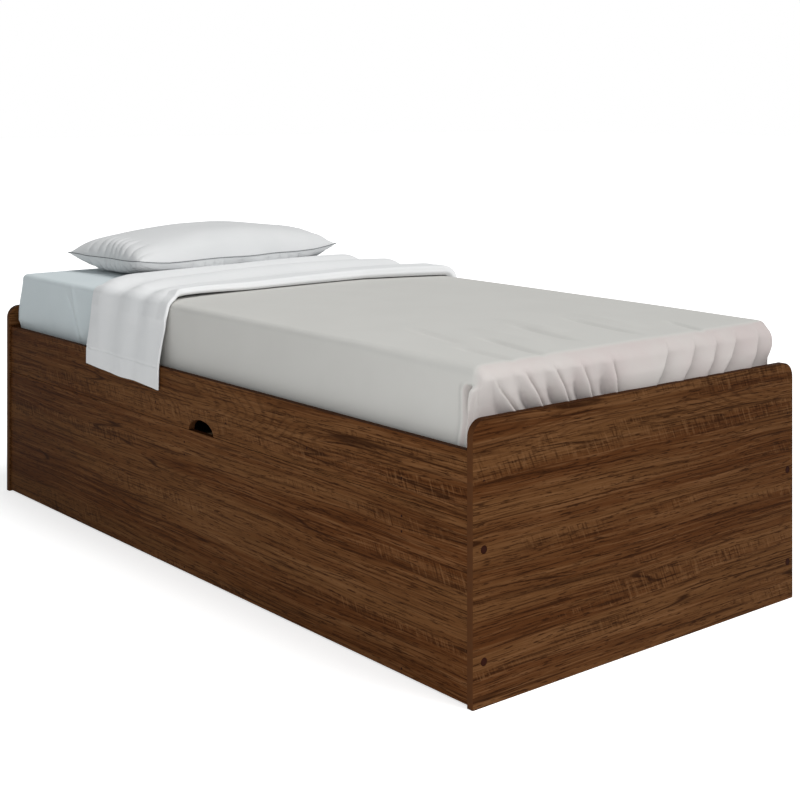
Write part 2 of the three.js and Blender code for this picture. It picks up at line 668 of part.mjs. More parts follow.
// Pillow: a crowned top and a flatter underside that meet in a seam, with drawn-in sides and raised tips
function pillow() {
  const middle = mattressHead + PILLOW_FROM_HEAD;
  const crown = crownAt(middle + PILLOW_WIDTH / 4, 0);
  const rest = mattressTop + crown + fittedInner + FITTED_SHEET + FIT;
  const seam = rest + PILLOW_BELOW_SEAM;
  const [columns, rows] = PILLOW_COUNTS;
  const vertices = [];
  for (const face of [1, -1]) {
    for (let i = 0; i <= columns; i += 1) {
      for (let j = 0; j <= rows; j += 1) {
        const s = Math.sin(((i / columns) - 0.5) * Math.PI);
        const t = Math.sin(((j / rows) - 0.5) * Math.PI);
        const x = s * (PILLOW_WIDTH / 2 - PILLOW_DRAW_IN * (1 - t * t));
        const y = t * (PILLOW_LENGTH / 2 - PILLOW_DRAW_IN * (1 - s * s));
        const across = 1 - Math.abs(s) ** PILLOW_SQUARENESS.across;
        const along = 1 - Math.abs(t) ** PILLOW_SQUARENESS.along;
        const full = (across * along) ** PILLOW_FULLNESS;
        const under = Math.min(1, PILLOW_FLATTENED * full);
        const height = face > 0 ? PILLOW_ABOVE_SEAM * full : -PILLOW_BELOW_SEAM * under;
        vertices.push(x, y, seam + height + PILLOW_TIP_RISE * (s * t) ** 2);
      }
    }
  }
  const index = [];
  const at = (i, j, under) => under * (columns + 1) * (rows + 1) + i * (rows + 1) + j;
  for (let i = 0; i < columns; i += 1) {
    for (let j = 0; j < rows; j += 1) {
      const [a, b, c, d] = [[i, j], [i + 1, j], [i + 1, j + 1], [i, j + 1]];
      index.push(at(...a, 0), at(...b, 0), at(...c, 0), at(...a, 0), at(...c, 0), at(...d, 0));
      index.push(at(...a, 1), at(...c, 1), at(...b, 1), at(...a, 1), at(...d, 1), at(...c, 1));
    }
  }
  const geometry = new THREE.BufferGeometry();
  geometry.setAttribute('position', new THREE.Float32BufferAttribute(vertices, 3));
  geometry.setIndex(index);
  const closed = toGeometry(toManifold(geometry));
  closed.rotateZ(THREE.MathUtils.degToRad(PILLOW_TURN));
  return closed.translate(middle, mattressMiddle + PILLOW_OFFSET, 0);
}
addNode('pillow', pillow(), whiteCotton);

export default bed;
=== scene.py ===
import json
import math

import bpy
import numpy as np
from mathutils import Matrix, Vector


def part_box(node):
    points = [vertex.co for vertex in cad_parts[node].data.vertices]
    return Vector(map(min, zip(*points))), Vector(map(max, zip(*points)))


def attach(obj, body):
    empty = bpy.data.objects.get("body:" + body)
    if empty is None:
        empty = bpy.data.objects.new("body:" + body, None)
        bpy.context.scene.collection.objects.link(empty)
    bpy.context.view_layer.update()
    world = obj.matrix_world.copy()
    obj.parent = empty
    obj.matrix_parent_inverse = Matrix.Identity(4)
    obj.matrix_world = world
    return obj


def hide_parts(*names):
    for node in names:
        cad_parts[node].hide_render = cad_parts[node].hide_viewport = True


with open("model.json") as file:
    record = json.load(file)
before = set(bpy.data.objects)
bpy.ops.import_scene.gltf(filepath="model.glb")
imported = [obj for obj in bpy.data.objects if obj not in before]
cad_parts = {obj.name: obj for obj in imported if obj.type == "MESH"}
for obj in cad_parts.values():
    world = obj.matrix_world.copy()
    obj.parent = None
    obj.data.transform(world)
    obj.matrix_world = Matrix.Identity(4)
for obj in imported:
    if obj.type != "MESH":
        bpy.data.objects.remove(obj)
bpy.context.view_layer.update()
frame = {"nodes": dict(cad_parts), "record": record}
nodes = frame["nodes"]
slot_of = {part["node"]: part["material_slot"] for part in frame["record"]["subparts"]}
MM = 0.001


# Colours are written as 8-bit display values
def colour(red, green, blue):
    def linear(value):
        share = value / 255
        return share / 12.92 if share <= 0.04045 else ((share + 0.055) / 1.055) ** 2.4

    return (linear(red), linear(green), linear(blue), 1)


def add_object(name, data):
    made = bpy.data.objects.new(name, data)
    bpy.context.collection.objects.link(made)
    return made


def add_mesh(name, points, faces):
    mesh = bpy.data.meshes.new(name)
    mesh.from_pydata(points, [], faces)
    mesh.validate()
    mesh.update()
    return add_object(name, mesh)


# Camera, in the place that the photograph was taken from
CAMERA_PLACE = (2.8607, -2.2174, 1.072)
CAMERA_AZIMUTH = 50.714
CAMERA_LENS = 65.478
CAMERA_SHIFT = (0.0128, -0.3677)
SENSOR_WIDTH = 36


def make_camera():
    data = bpy.data.cameras.new("camera")
    data.lens = CAMERA_LENS
    data.sensor_width = SENSOR_WIDTH
    data.shift_x, data.shift_y = CAMERA_SHIFT
    camera = add_object("camera", data)
    camera.location = CAMERA_PLACE
    camera.rotation_euler = (math.radians(90), 0, math.radians(CAMERA_AZIMUTH))
    bpy.context.scene.camera = camera


# Shader nodes of a material or a world, added and linked in one call each
class Tree:
    def __init__(self, name, kind="materials"):
        self.owner = getattr(bpy.data, kind).new(name)
        self.owner.use_nodes = True
        self.nodes = self.owner.node_tree.nodes
        self.links = self.owner.node_tree.links

    def put(self, socket, value):
        if isinstance(value, bpy.types.NodeSocket):
            self.links.new(value, socket)
        elif value is not None:
            socket.default_value = value

    def add(self, kind, inputs, **settings):
        node = self.nodes.new("ShaderNode" + kind)
        for key, value in settings.items():
            setattr(node, key, value)
        for key, value in inputs.items():
            self.put(node.inputs[key], value)
        return node

    def coordinate(self, kind="Object"):
        return self.add("TexCoord", {}).outputs[kind]

    def parts(self, vector):
        return self.add("SeparateXYZ", {"Vector": vector}).outputs

    def math(self, operation, first, second=None, third=None):
        inputs = {0: first, 1: second, 2: third}
        return self.add("Math", inputs, operation=operation).outputs[0]

    def times(self, first, second):
        return self.math("MULTIPLY", first, second)

    def noise(self, vector, scale, detail, roughness=0.5):
        inputs = {"Vector": vector, "Scale": scale, "Detail": detail, "Roughness": roughness}
        return self.add("TexNoise", inputs).outputs["Fac"]

    def scaled(self, vector, scale, shift=(0, 0, 0)):
        inputs = {"Vector": vector, "Scale": scale, "Location": shift}
        return self.add("Mapping", inputs).outputs[0]

    # Noise with a scale for each axis, and a shift that keeps it apart from other patterns
    def pattern(self, vector, scales, detail, roughness=0.5, shift=(0, 0, 0)):
        return self.noise(self.scaled(vector, scales, shift), 1, detail, roughness)

    def moved(self, vector, axis, distance):
        step = self.add("CombineXYZ", {axis: distance}).outputs[0]
        return self.add("VectorMath", {0: vector, 1: step}, operation="ADD").outputs[0]

    # Takes a value from one range to another, smoothly, and holds it at the ends
    def spread(self, value, low, high, start=0.0, end=1.0):
        inputs = {"Value": value, "From Min": low, "From Max": high, "To Min": start, "To Max": end}
        return self.add("MapRange", inputs, interpolation_type="SMOOTHSTEP").outputs[0]

    def mix(self, factor, first, second, blend="MIX"):
        node = self.nodes.new("ShaderNodeMix")
        node.data_type = "RGBA"
        node.blend_type = blend
        self.put(node.inputs["Factor"], factor)
        self.put(node.inputs["A"], first)
        self.put(node.inputs["B"], second)
        return node.outputs["Result"]

    # Lays a tint over the base as the value goes from low to high
    def over(self, base, tint, value, low, high, most=1.0):
        return self.mix(self.spread(value, low, high, 0, most), base, tint)

    # One on rays from the camera, also by way of a mirror or through glass, and else zero
    def seen(self):
        paths = self.add("LightPath", {}).outputs
        seen = self.math("MAXIMUM", paths["Is Camera Ray"], paths["Is Glossy Ray"])
        return self.math("MAXIMUM", seen, paths["Is Transmission Ray"])

    def bump(self, height, distance, strength):
        bump = self.add("Bump", {"Height": height, "Distance": distance, "Strength": strength})
        self.put(self.nodes["Principled BSDF"].inputs["Normal"], bump.outputs[0])

    def surface(self, base, roughness, **more):
        shader = self.nodes["Principled BSDF"]
        self.put(shader.inputs["Base Color"], base)
        self.put(shader.inputs["Roughness"], roughness)
        for key, value in more.items():
            self.put(shader.inputs[key.replace("_", " ")], value)
        return self.owner


# Wood print: dark brown boards with streaks along the grain, saw marks across it, ovals, pores and knots
BLACK = (0, 0, 0, 1)
WOOD_DARK = colour(44, 21, 6)
WOOD_LOW = colour(89, 52, 25)
WOOD_MIDDLE = colour(107, 71, 41)
WOOD_HIGH = colour(136, 97, 64)
# Tint of the painted shade on the front boards towards the head end
HEAD_SHADE_TINT = colour(150, 130, 40)
EDGE_BAND = colour(80, 50, 29)

# Scales of its patterns: repeats per metre along the grain, across it and through the board
SWAY = (1.6, 6, 1)
BANDS = (0.7, 16, 1)
STREAKS = (2.2, 95, 1)
THIN_STREAKS = (5, 300, 1)
PORES = (30, 380, 1)
OVALS = (1.1, 7, 1)
OVAL_PLACES = (1.1, 6, 1)
CRACKS = (0.7, 12, 1)
CRACK_BREAKS = (4, 30, 1)
SAW_CUTS = (210, 15, 1)
SAW_DASHES = (90, 70, 1)
SAW_ROWS = (1.0, 24, 1)
SAW_PATCHES = (3.5, 8, 1)
KNOTS = (2.3, 5.2, 0.01)

# Other measures of the print
SWAY_WIDTH = 30 * MM
OVAL_RATE = 260
SAW_SLANT = 0.45
SAW_LIGHT = 0.36
SAW_DARK = 0.6
# Where the painted shade towards the head end starts and where it is full
HEAD_SHADE_FADE = (100 * MM, -950 * MM)
PLANK_LINE = (1.6 * MM, 0.5 * MM)


def board_coordinates(tree, grain, thickness, seed):
    """Coordinates with X along the grain, Y across it on the face, and Z through the board."""
    split = tree.parts(tree.coordinate())
    across = ({"X", "Y", "Z"} - {grain, thickness}).pop()
    inputs = {"X": split[grain], "Y": split[across], "Z": split[thickness]}
    joined = tree.add("CombineXYZ", inputs).outputs[0]
    return tree.scaled(joined, (1, 1, 1), (seed * 3.7, seed * 1.3, seed * 0.7))


def wood_tones(tree, bent, streaks):
    """Broad bands with streaks and thin streaks along the grain."""
    bands = tree.pattern(bent, BANDS, 3, 0.6)
    thin = tree.pattern(bent, THIN_STREAKS, 3, 0.65, (3, 1, 2))
    base = tree.over(WOOD_LOW, WOOD_MIDDLE, bands, 0.38, 0.62)
    base = tree.over(base, WOOD_HIGH, streaks, 0.5, 0.72, 0.4)
    base = tree.over(base, WOOD_DARK, streaks, 0.46, 0.28, 0.6)
    base = tree.over(base, WOOD_DARK, thin, 0.53, 0.64, 0.72)
    return tree.over(base, WOOD_HIGH, thin, 0.46, 0.32, 0.45)


def wood_ovals(tree, at, base):
    """Faint ovals of plain-sawn wood, as contours of a slow field."""
    rings = tree.math("SINE", tree.times(tree.pattern(at, OVALS, 1, 0.4), OVAL_RATE))
    places = tree.spread(tree.pattern(at, OVAL_PLACES, 1, shift=(5, 3, 1)), 0.5, 0.62)
    return tree.mix(tree.times(tree.spread(rings, 0.2, 1, 0, 0.3), places), base, WOOD_DARK)


def wood_cracks(tree, at, bent, base):
    """Long thin cracks with gaps."""
    field = tree.pattern(bent, CRACKS, 2, 0.45, (9, 2, 4))
    crack = tree.spread(tree.math("ABSOLUTE", tree.math("SUBTRACT", field, 0.5)), 0.008, 0.001)
    broken = tree.spread(tree.pattern(at, CRACK_BREAKS, 1, shift=(2, 8, 3)), 0.42, 0.55)
    return tree.mix(tree.times(crack, tree.times(broken, 0.85)), base, WOOD_DARK)


def saw_marks(tree, at, bent, base):
    """Short light and dark marks across the grain, in long rows."""
    slanted = tree.moved(at, "X", tree.times(tree.parts(at)["Y"], SAW_SLANT))
    cuts = tree.pattern(slanted, SAW_CUTS, 1)
    dashes = tree.pattern(slanted, SAW_DASHES, 1)
    rows = tree.spread(tree.pattern(bent, SAW_ROWS, 1, shift=(7, 7, 7)), 0.53, 0.6)
    patches = tree.spread(tree.pattern(at, SAW_PATCHES, 2, shift=(1, 4, 2)), 0.42, 0.56, 0.15, 1)
    marked = tree.times(rows, patches)
    light = tree.times(tree.spread(cuts, 0.52, 0.66), tree.spread(dashes, 0.38, 0.6))
    dark = tree.times(tree.spread(cuts, 0.48, 0.34), tree.spread(dashes, 0.64, 0.4))
    base = tree.mix(tree.times(light, tree.times(marked, SAW_LIGHT)), base, WOOD_HIGH)
    return tree.mix(tree.times(dark, tree.times(marked, SAW_DARK)), base, WOOD_DARK)


def wood_print(name, grain="X", thickness="Y", seed=0, painted_shade=0.0, painted_head_shade=False, plank_line=None):
    tree = Tree(name)
    at = board_coordinates(tree, grain, thickness, seed)
    bent = tree.moved(at, "Y", tree.times(tree.pattern(at, SWAY, 2), SWAY_WIDTH))
    streaks = tree.pattern(bent, STREAKS, 3, 0.65)
    base = wood_ovals(tree, at, wood_tones(tree, bent, streaks))
    pores = tree.pattern(bent, PORES, 2, 0.6)
    base = tree.over(base, WOOD_DARK, pores, 0.56, 0.66, 0.8)
    base = wood_cracks(tree, at, bent, base)
    base = saw_marks(tree, at, bent, base)
    knots = tree.add("TexVoronoi", {"Vector": tree.scaled(bent, KNOTS), "Scale": 1.0})
    base = tree.over(base, WOOD_DARK, knots.outputs["Distance"], 0.05, 0.012, 0.8)
    # Painted shade: the whole board is darkened towards black by the given share, to even out how
    # differently the boards are lit
    base = tree.mix(painted_shade, base, BLACK)
    place = tree.parts(tree.coordinate())
    # Painted shade: the board darkens and reddens towards the head end, where less light falls
    if painted_head_shade:
        base = tree.mix(tree.spread(place["X"], *HEAD_SHADE_FADE, 0, 0.5), base, HEAD_SHADE_TINT, "MULTIPLY")
    if plank_line:
        away = tree.math("ABSOLUTE", tree.math("SUBTRACT", place["Z"], plank_line))
        base = tree.over(base, WOOD_DARK, away, *PLANK_LINE, 0.7)

    # Edge bands are plain, with painted shade where they face up, for the shadow beside the mattress
    normal = tree.parts(tree.coordinate("Normal"))
    face = tree.math("GREATER_THAN", tree.math("ABSOLUTE", normal[thickness]), 0.7)
    band = tree.over(EDGE_BAND, WOOD_LOW, streaks, 0.3, 0.7, 0.35)
    band = tree.over(band, WOOD_DARK, normal["Z"], 0.3, 0.9, 0.75)
    tree.bump(tree.times(pores, face), 0.3 * MM, 0.3)
    return tree.surface(tree.mix(face, band, base), 0.6, Specular_IOR_Level=0.02)


# Scales of the patterns in plain boards and in cloth
BOARD_STREAKS = (2.5, 55, 20)
BOARD_PORES = (20, 500, 200)
SLUBS = (60, 900, 300)


def plain_wood(name, light, dark, grain, thickness, seed):
    tree = Tree(name)
    at = board_coordinates(tree, grain, thickness, seed)
    streaks = tree.pattern(at, BOARD_STREAKS, 3, 0.6)
    pores = tree.pattern(at, BOARD_PORES, 2, 0.6)
    base = tree.over(light, dark, streaks, 0.3, 0.7)
    base = tree.over(base, dark, pores, 0.55, 0.8, 0.35)
    tree.bump(pores, 0.2 * MM, 0.3)
    return tree.surface(base, 0.65, Specular_IOR_Level=0.3)


def plastic(name, tint, roughness):
    tree = Tree(name)
    place = tree.coordinate()
    base = tree.over(tint, colour(10, 8, 6), tree.noise(place, 60, 2), 0.3, 0.7, 0.25)
    tree.bump(tree.noise(place, 900, 2), 0.1 * MM, 0.3)
    return tree.surface(base, roughness, Specular_IOR_Level=0.05)


def zinc(name):
    tree = Tree(name)
    place = tree.coordinate()
    cloud = tree.noise(place, 90, 3, 0.6)
    base = tree.over(colour(186, 188, 190), colour(150, 152, 150), cloud, 0.35, 0.7)
    tree.bump(tree.noise(place, 700, 2), 0.05 * MM, 0.4)
    return tree.surface(base, tree.spread(cloud, 0.3, 0.7, 0.28, 0.42), Metallic=1.0)


# Fabric: a fine weave in the bump, faint unevenness in the colour, and on faces towards the foot end a
# pinkish, darker tint that is painted bounce light from the wood and painted shade
def fabric(name, light, dark, weave=0.8 * MM, foot_bounce_and_shade=None):
    tree = Tree(name)
    place = tree.coordinate()
    # Painted light and shade: faces towards the foot end turn pinkish and darker, for light bounced off
    # the wood and for shade
    if foot_bounce_and_shade:
        to_foot = tree.parts(tree.coordinate("Normal"))["X"]
        light = tree.over(light, foot_bounce_and_shade, to_foot, 0.12, 0.6)
    base = tree.over(light, dark, tree.noise(place, 7, 3, 0.55), 0.3, 0.7, 0.5)
    base = tree.over(base, dark, tree.pattern(place, SLUBS, 2, 0.6), 0.55, 0.8, 0.25)
    split = tree.parts(place)
    threads = [tree.math("SINE", tree.times(split[axis], math.tau / weave)) for axis in "XYZ"]
    woven = tree.math("ADD", tree.math("ADD", threads[0], threads[1]), threads[2])
    tree.bump(woven, 0.05 * MM, 0.15)
    return tree.surface(base, 0.9, Sheen_Weight=0.08, Sheen_Roughness=0.5, Specular_IOR_Level=0.1)


# Printed boards: an end panel's grain runs along Y, the footboard shows a joint line between planks, and
# some boards are darkened as painted shade
PRINTED = {
    "headboard": {"grain": "Y", "thickness": "X", "seed": 1, "painted_shade": 0.12},
    "footboard": {"grain": "Y", "thickness": "X", "seed": 2, "painted_shade": 0.23, "plank_line": 330 * MM},
    # The front boards take painted shade towards the head end
    "front_rail": {"seed": 3, "painted_head_shade": True},
    "drawer_front": {"seed": 3, "painted_head_shade": True},
    "rear_panel": {"seed": 5, "painted_shade": 0.05},
}

# Raw boards, with the axes of their grain and thickness, and pine
RAW_LIGHT, RAW_DARK = colour(196, 172, 136), colour(176, 150, 112)
PINE_LIGHT, PINE_DARK = colour(216, 186, 138), colour(186, 148, 98)
RAW_BOARDS = {
    "front_post_head": ("Z", "Y"), "front_post_foot": ("Z", "Y"),
    "drawer_side_head": ("Y", "X"), "drawer_divider": ("Y", "X"), "drawer_side_foot": ("Y", "X"),
    "drawer_back": ("X", "Y"), "drawer_bottom_head": ("X", "Z"), "drawer_bottom_foot": ("X", "Z"),
}
PINE_SEED = 20
WORN_EDGE = 0.6 * MM


def dress(node, material):
    mesh = nodes[node].data
    mesh.materials.clear()
    mesh.materials.append(material)


def soften_edges(node):
    bevel = nodes[node].modifiers.new("edges", "BEVEL")
    bevel.width = WORN_EDGE
    bevel.segments = 2
    bevel.limit_method = "ANGLE"
    bevel.angle_limit = math.radians(40)
    bevel.harden_normals = True


def dress_frame():
    for node, settings in PRINTED.items():
        dress(node, wood_print("wood_" + node, **settings))
    for seed, (node, (grain, thickness)) in enumerate(RAW_BOARDS.items()):
        dress(node, plain_wood("board_" + node, RAW_LIGHT, RAW_DARK, grain, thickness, seed))
    pine = sorted(name for name in nodes if slot_of[name] == "slat_wood")
    for seed, node in enumerate(pine, PINE_SEED):
        grain = "X" if "cleat" in node else "Y"
        dress(node, plain_wood("pine_" + node, PINE_LIGHT, PINE_DARK, grain, "Z", seed))
    shared = {
        "cap_plastic": plastic("cap_brown", colour(42, 15, 6), 0.7),
        "wheel_nylon": plastic("wheel_black", colour(38, 38, 40), 0.5),
        "steel": zinc("zinc"),
    }
    for node in nodes:
        if slot_of[node] in shared:
            dress(node, shared[slot_of[node]])
        if slot_of[node] in ("wood_print", "inner_board", "slat_wood"):
            soften_edges(node)


# Meshes of the pieces that the scene adds
def mesh_piece(name, points, faces, material, body="bed_frame"):
    piece = add_mesh(name, points, faces)
    piece.data.shade_smooth()
    piece.data.materials.append(material)
    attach(piece, body)
    return piece


def quads(index):
    """The faces of a grid whose points have the numbers in index."""
    corners = (index[:-1, :-1], index[1:, :-1], index[1:, 1:], index[:-1, 1:])
    return np.stack([corner.ravel() for corner in corners], axis=1)


def ease(value, low, high):
    """Zero at low and one at high, smooth between them and held past them."""
    share = np.clip((value - low) / (high - low), 0, 1)
    return share * share * (3 - 2 * share)


# Value noise on a lattice, the same in each run
LATTICE = 64
lattice = np.random.default_rng(7).uniform(-1, 1, (LATTICE, LATTICE))


def ripple(u, v):
    iu, iv = np.floor(u).astype(int), np.floor(v).astype(int)
    fu, fv = u - iu, v - iv
    fu, fv = fu * fu * (3 - 2 * fu), fv * fv * (3 - 2 * fv)
    low, high = (
        lattice[iu % LATTICE, row % LATTICE] * (1 - fu) + lattice[(iu + 1) % LATTICE, row % LATTICE] * fu
        for row in (iv, iv + 1))
    return low * (1 - fv) + high * fv


# Mattress form, from the CAD mattress: crisp at the head and the sides, rounder at the foot
HEAD_CORNER = 14 * MM
HEAD_EDGE = 12 * MM
FOOT_FRONT_RADIUS = 20 * MM
FOOT_REAR_RADIUS = 38 * MM
FOOT_EDGE = 28 * MM
MATTRESS_CROWN = 3 * MM
mattress_low, mattress_high = (np.array(corner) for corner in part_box("mattress"))
mattress_high[2] -= MATTRESS_CROWN
form_half = (mattress_high - mattress_low) / 2
form_middle = (mattress_high + mattress_low) / 2
half_x, half_y, half_z = form_half
middle_y = form_middle[1]
form_top = mattress_high[2]
rail_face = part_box("front_rail")[0].y
rail_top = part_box("front_rail")[1].z
board_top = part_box("footboard")[1].z

# Where the form turns from the head's to the foot's, and from the front's to the rear's
FOOT_FORM = (550 * MM, 900 * MM)
REAR_FORM = (100 * MM, 250 * MM)

# Grids: what packs three counts into one key, what counts as one line, and the finer stretch at an end
KEY_BASE = 10000
SAME_LINE = 1e-6
END_MARGIN = 30 * MM


def box_shell(lines, sides):
    """Grid points and quads of some sides of a block, with the points on shared edges merged.
    Each side is an axis and its end, 0 or -1, and the lines are where the grid has points."""
    counts = [len(line) for line in lines]
    keys, faces, placed = [], [], 0
    for axis, end in sides:
        first, second = [other for other in range(3) if other != axis]
        grid = np.zeros((counts[first], counts[second], 3), int)
        grid[..., first] = np.arange(counts[first])[:, None]
        grid[..., second] = np.arange(counts[second])[None, :]
        grid[..., axis] = counts[axis] - 1 if end else 0
        size = counts[first] * counts[second]
        side = quads(placed + np.arange(size).reshape(counts[first], counts[second]))
        outward = (end != 0) == (axis != 1)
        keys.append((grid @ [1, KEY_BASE, KEY_BASE ** 2]).ravel())
        placed += size
        faces.append(side if outward else side[:, ::-1])
    unique, inverse = np.unique(np.concatenate(keys), return_inverse=True)
    steps = [unique % KEY_BASE, unique // KEY_BASE % KEY_BASE, unique // KEY_BASE ** 2]
    block = np.stack([lines[axis][steps[axis]] for axis in range(3)], axis=1)
    return block, inverse[np.concatenate(faces)]


def crown(x, y):
    along = np.maximum(0, 1 - (x / half_x) ** 4)
    return MATTRESS_CROWN * along * np.maximum(0, 1 - (y / half_y) ** 4)


def round_off(block, offset):
    """Moves points of the plain block on to the round form grown by offset; also gives the way out."""
    to_foot = ease(block[:, 0], *FOOT_FORM)
    rearward = ease(block[:, 1], *(place - half_y for place in REAR_FORM))
    foot_edge = FOOT_FRONT_RADIUS + (FOOT_EDGE - FOOT_FRONT_RADIUS) * rearward
    foot_corner = FOOT_FRONT_RADIUS + (FOOT_REAR_RADIUS - FOOT_FRONT_RADIUS) * rearward
    edge = HEAD_EDGE + (foot_edge - HEAD_EDGE) * to_foot
    corner = HEAD_CORNER + (foot_corner - HEAD_CORNER) * to_foot
    inner = corner - edge
    limits = form_half - np.stack([corner, corner, edge], axis=1)
    inside = np.clip(block, -limits, limits)
    away = block[:, :2] - inside[:, :2]
    reach = np.abs(away).max(axis=1)
    length = np.linalg.norm(away, axis=1)
    way = away / np.where(length > 0, length, 1)[:, None]
    side = np.maximum(0, reach - inner) / edge
    rise = (block[:, 2] - inside[:, 2]) / edge
    slope = np.hypot(side, rise)
    slope = np.where(slope > 0, slope, 1)
    scale = np.maximum(side, np.abs(rise)) / slope
    out = np.concatenate([way * (side / slope)[:, None], (rise / slope)[:, None]], axis=1)
    in_plan = inside[:, :2] + way * (np.minimum(reach, inner) + side * scale * edge)[:, None]
    points = np.concatenate([in_plan, (inside[:, 2] + rise * scale * edge)[:, None]], axis=1)
    points[:, 2] += np.maximum(out[:, 2], 0) * crown(points[:, 0], points[:, 1])
    return points + out * offset + form_middle, out


def lines_between(low, high, step, fine=()):
    """Grid lines from low to high: closer on the stretches that fine gives as start, end and step."""
    marks = [low]
    while marks[-1] < high - SAME_LINE:
        here = marks[-1]
        pace = min([step] + [short for start, end, short in fine if start - SAME_LINE <= here < end])
        marks.append(min(high, here + pace))
    return np.array(marks)


def edge_lines(half, step, short=2.5 * MM):
    """Grid lines from end to end of a block, closer beside both ends."""
    fine = [(-half, END_MARGIN - half, short), (half - END_MARGIN, half, short)]
    return lines_between(-half, half, step, fine)


# Cloths, and the seam cord whose dark grey is painted shade
COTTON_WHITE = fabric("cotton_white", colour(235, 236, 237), colour(229, 231, 232))
COTTON_BLUE = fabric("cotton_blue", colour(212, 221, 224), colour(205, 215, 218))
# The cover's foot end takes painted bounce light from the wood and painted shade
COVER_GREY = fabric(
    "cover_grey", colour(206, 205, 201), colour(202, 201, 197), foot_bounce_and_shade=colour(196, 186, 184))
PILLOW_WHITE = fabric("pillow_white", colour(221, 222, 223), colour(216, 218, 219))
TICKING = fabric("ticking", colour(232, 228, 220), colour(222, 218, 208), weave=1.2 * MM)
# The pillow's seam cord is dark grey as painted shade of the seam's groove
SEAM_CORD_SHADE = plastic("seam_cord_shade", colour(120, 124, 127), 0.9)

# How far the mattress stays behind the sheets, behind the gathers at the foot, and behind the corner pleat
UNDER_SHEET = 6 * MM
UNDER_GATHERS = 26 * MM
UNDER_EAR = 22 * MM
BESIDE_EAR = (860 * MM, 890 * MM)
EAR_SIDE = (-300 * MM, -400 * MM)


def make_mattress():
    block, faces = box_shell(
        [edge_lines(half, 24 * MM, 4 * MM) for half in form_half],
        [(0, 0), (0, -1), (1, 0), (1, -1), (2, 0), (2, -1)])
    points, _ = round_off(block, -UNDER_SHEET)
    foot = ease(block[:, 0], half_x - 60 * MM, half_x)
    above = ease(points[:, 2], rail_top - 20 * MM, rail_top)
    points[:, 0] -= UNDER_GATHERS * foot * above
    beside_ear = ease(block[:, 0], *BESIDE_EAR) * ease(block[:, 1], *EAR_SIDE)
    points[:, 1] += UNDER_EAR * beside_ear * above * ease(points[:, 2], form_top, 570 * MM)
    piece = mesh_piece("mattress_block", points, faces, TICKING)
    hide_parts("mattress")


# Bedding layers, as offsets from the mattress form
HEM = rail_top - 17 * MM
FITTED_OFFSET = 1.4 * MM
COVER_OFFSET = 3.2 * MM
COVER_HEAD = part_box("bed_cover")[0].x
FITTED_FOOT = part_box("fitted_sheet")[1].x


def solidify(piece, thickness):
    modifier = piece.modifiers.new("cloth", "SOLIDIFY")
    modifier.thickness = thickness
    modifier.offset = -1


def valleys(x, y, lines):
    """Sum of soft valleys in a plane: each is its two ends, its width and its depth, in millimetres."""
    total = np.zeros_like(x)
    for x0, y0, x1, y1, width, depth in lines:
        run = np.array([x1 - x0, y1 - y0]) * MM
        length = np.linalg.norm(run)
        along = ((x - x0 * MM) * run[0] + (y - y0 * MM) * run[1]) / length ** 2
        across = ((x - x0 * MM) * run[1] - (y - y0 * MM) * run[0]) / length
        ends = ease(along, -0.15, 0.3) * ease(along, 1.15, 0.7)
        total += depth * MM * ends * np.exp(-(across / (width * MM)) ** 2)
    return total


# Folds of the fitted sheet in front: x and z at both ends, width and depth, all in millimetres
FITTED_FOLDS = [(-665, 572, -590, 452, 7, 5), (-640, 600, -565, 440, 9, -5), (-800, 590, -740, 440, 18, 2)]
FITTED_FOLD_LINES = (-680 * MM, -500 * MM, 2.5 * MM)

# The sheet bulges at the front of the head end, and is drawn in again above the rail
HEAD_BULGE = 14 * MM
HEAD_TUCK = 7 * MM
HEAD_BULGE_LENGTH = 60 * MM


def make_fitted_sheet():
    lines = [
        lines_between(-half_x, FITTED_FOOT, 10 * MM, [
            (-half_x, END_MARGIN - half_x, 2.5 * MM), FITTED_FOLD_LINES]),
        edge_lines(half_y, 12 * MM),
        lines_between(HEM - form_middle[2], half_z, 4 * MM, [(half_z - 16 * MM, half_z, 2 * MM)]),
    ]
    block, faces = box_shell(lines, [(0, 0), (1, 0), (1, -1), (2, -1)])
    points, out = round_off(block, FITTED_OFFSET)
    x, y, z = points.T
    front = np.maximum(-out[:, 1], 0)
    points[:, 1] += front * valleys(x, z, FITTED_FOLDS) * ease(z, rail_top - 10 * MM, 480 * MM)
    at_head = np.exp(-(x - mattress_low[0]) / HEAD_BULGE_LENGTH)
    at_head = at_head * ease(z, 600 * MM, 490 * MM) * ease(y, 0, -400 * MM)
    tuck = HEAD_TUCK * ease(z, rail_top + 20 * MM, rail_top)
    points[:, 1] -= at_head * (HEAD_BULGE - tuck)
    points[:, 0] -= 2.5 * MM * at_head * ease(-out[:, 0], 0.3, 0.9)
    points += out * (0.5 * MM * ripple(x * 8 + 5, y * 6))[:, None]
    piece = mesh_piece("fitted_sheet_cloth", points, faces, COTTON_BLUE)
    solidify(piece, 1 * MM)
    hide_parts("fitted_sheet")


# Creases of the gathers above the footboard: y and z at both ends, in millimetres, and share of depth
CREASES = [
    (-440, 600, -425, 505, 0.5), (-415, 588, -344, 510, 0.9), (-328, 584, -273, 509, 1.0),
    (-251, 586, -205, 510, 1.0), (-176, 583, -141, 510, 0.9), (-91, 585, -69, 509, 0.8),
    (82, 594, 43, 508, 0.9), (166, 592, 125, 509, 1.0), (234, 590, 203, 513, 1.0),
    (302, 592, 255, 509, 1.0), (375, 588, 349, 507, 0.9), (446, 600, 430, 505, 0.5),
]
GATHER_DEPTH = 19 * MM
GATHER_DROP = 52 * MM
WIDE_FOLD = 110 * MM
BULGE = 6 * MM
FRONT_PULL = 14 * MM
REAR_PULL = 18 * MM
SHOULDER = 9 * MM

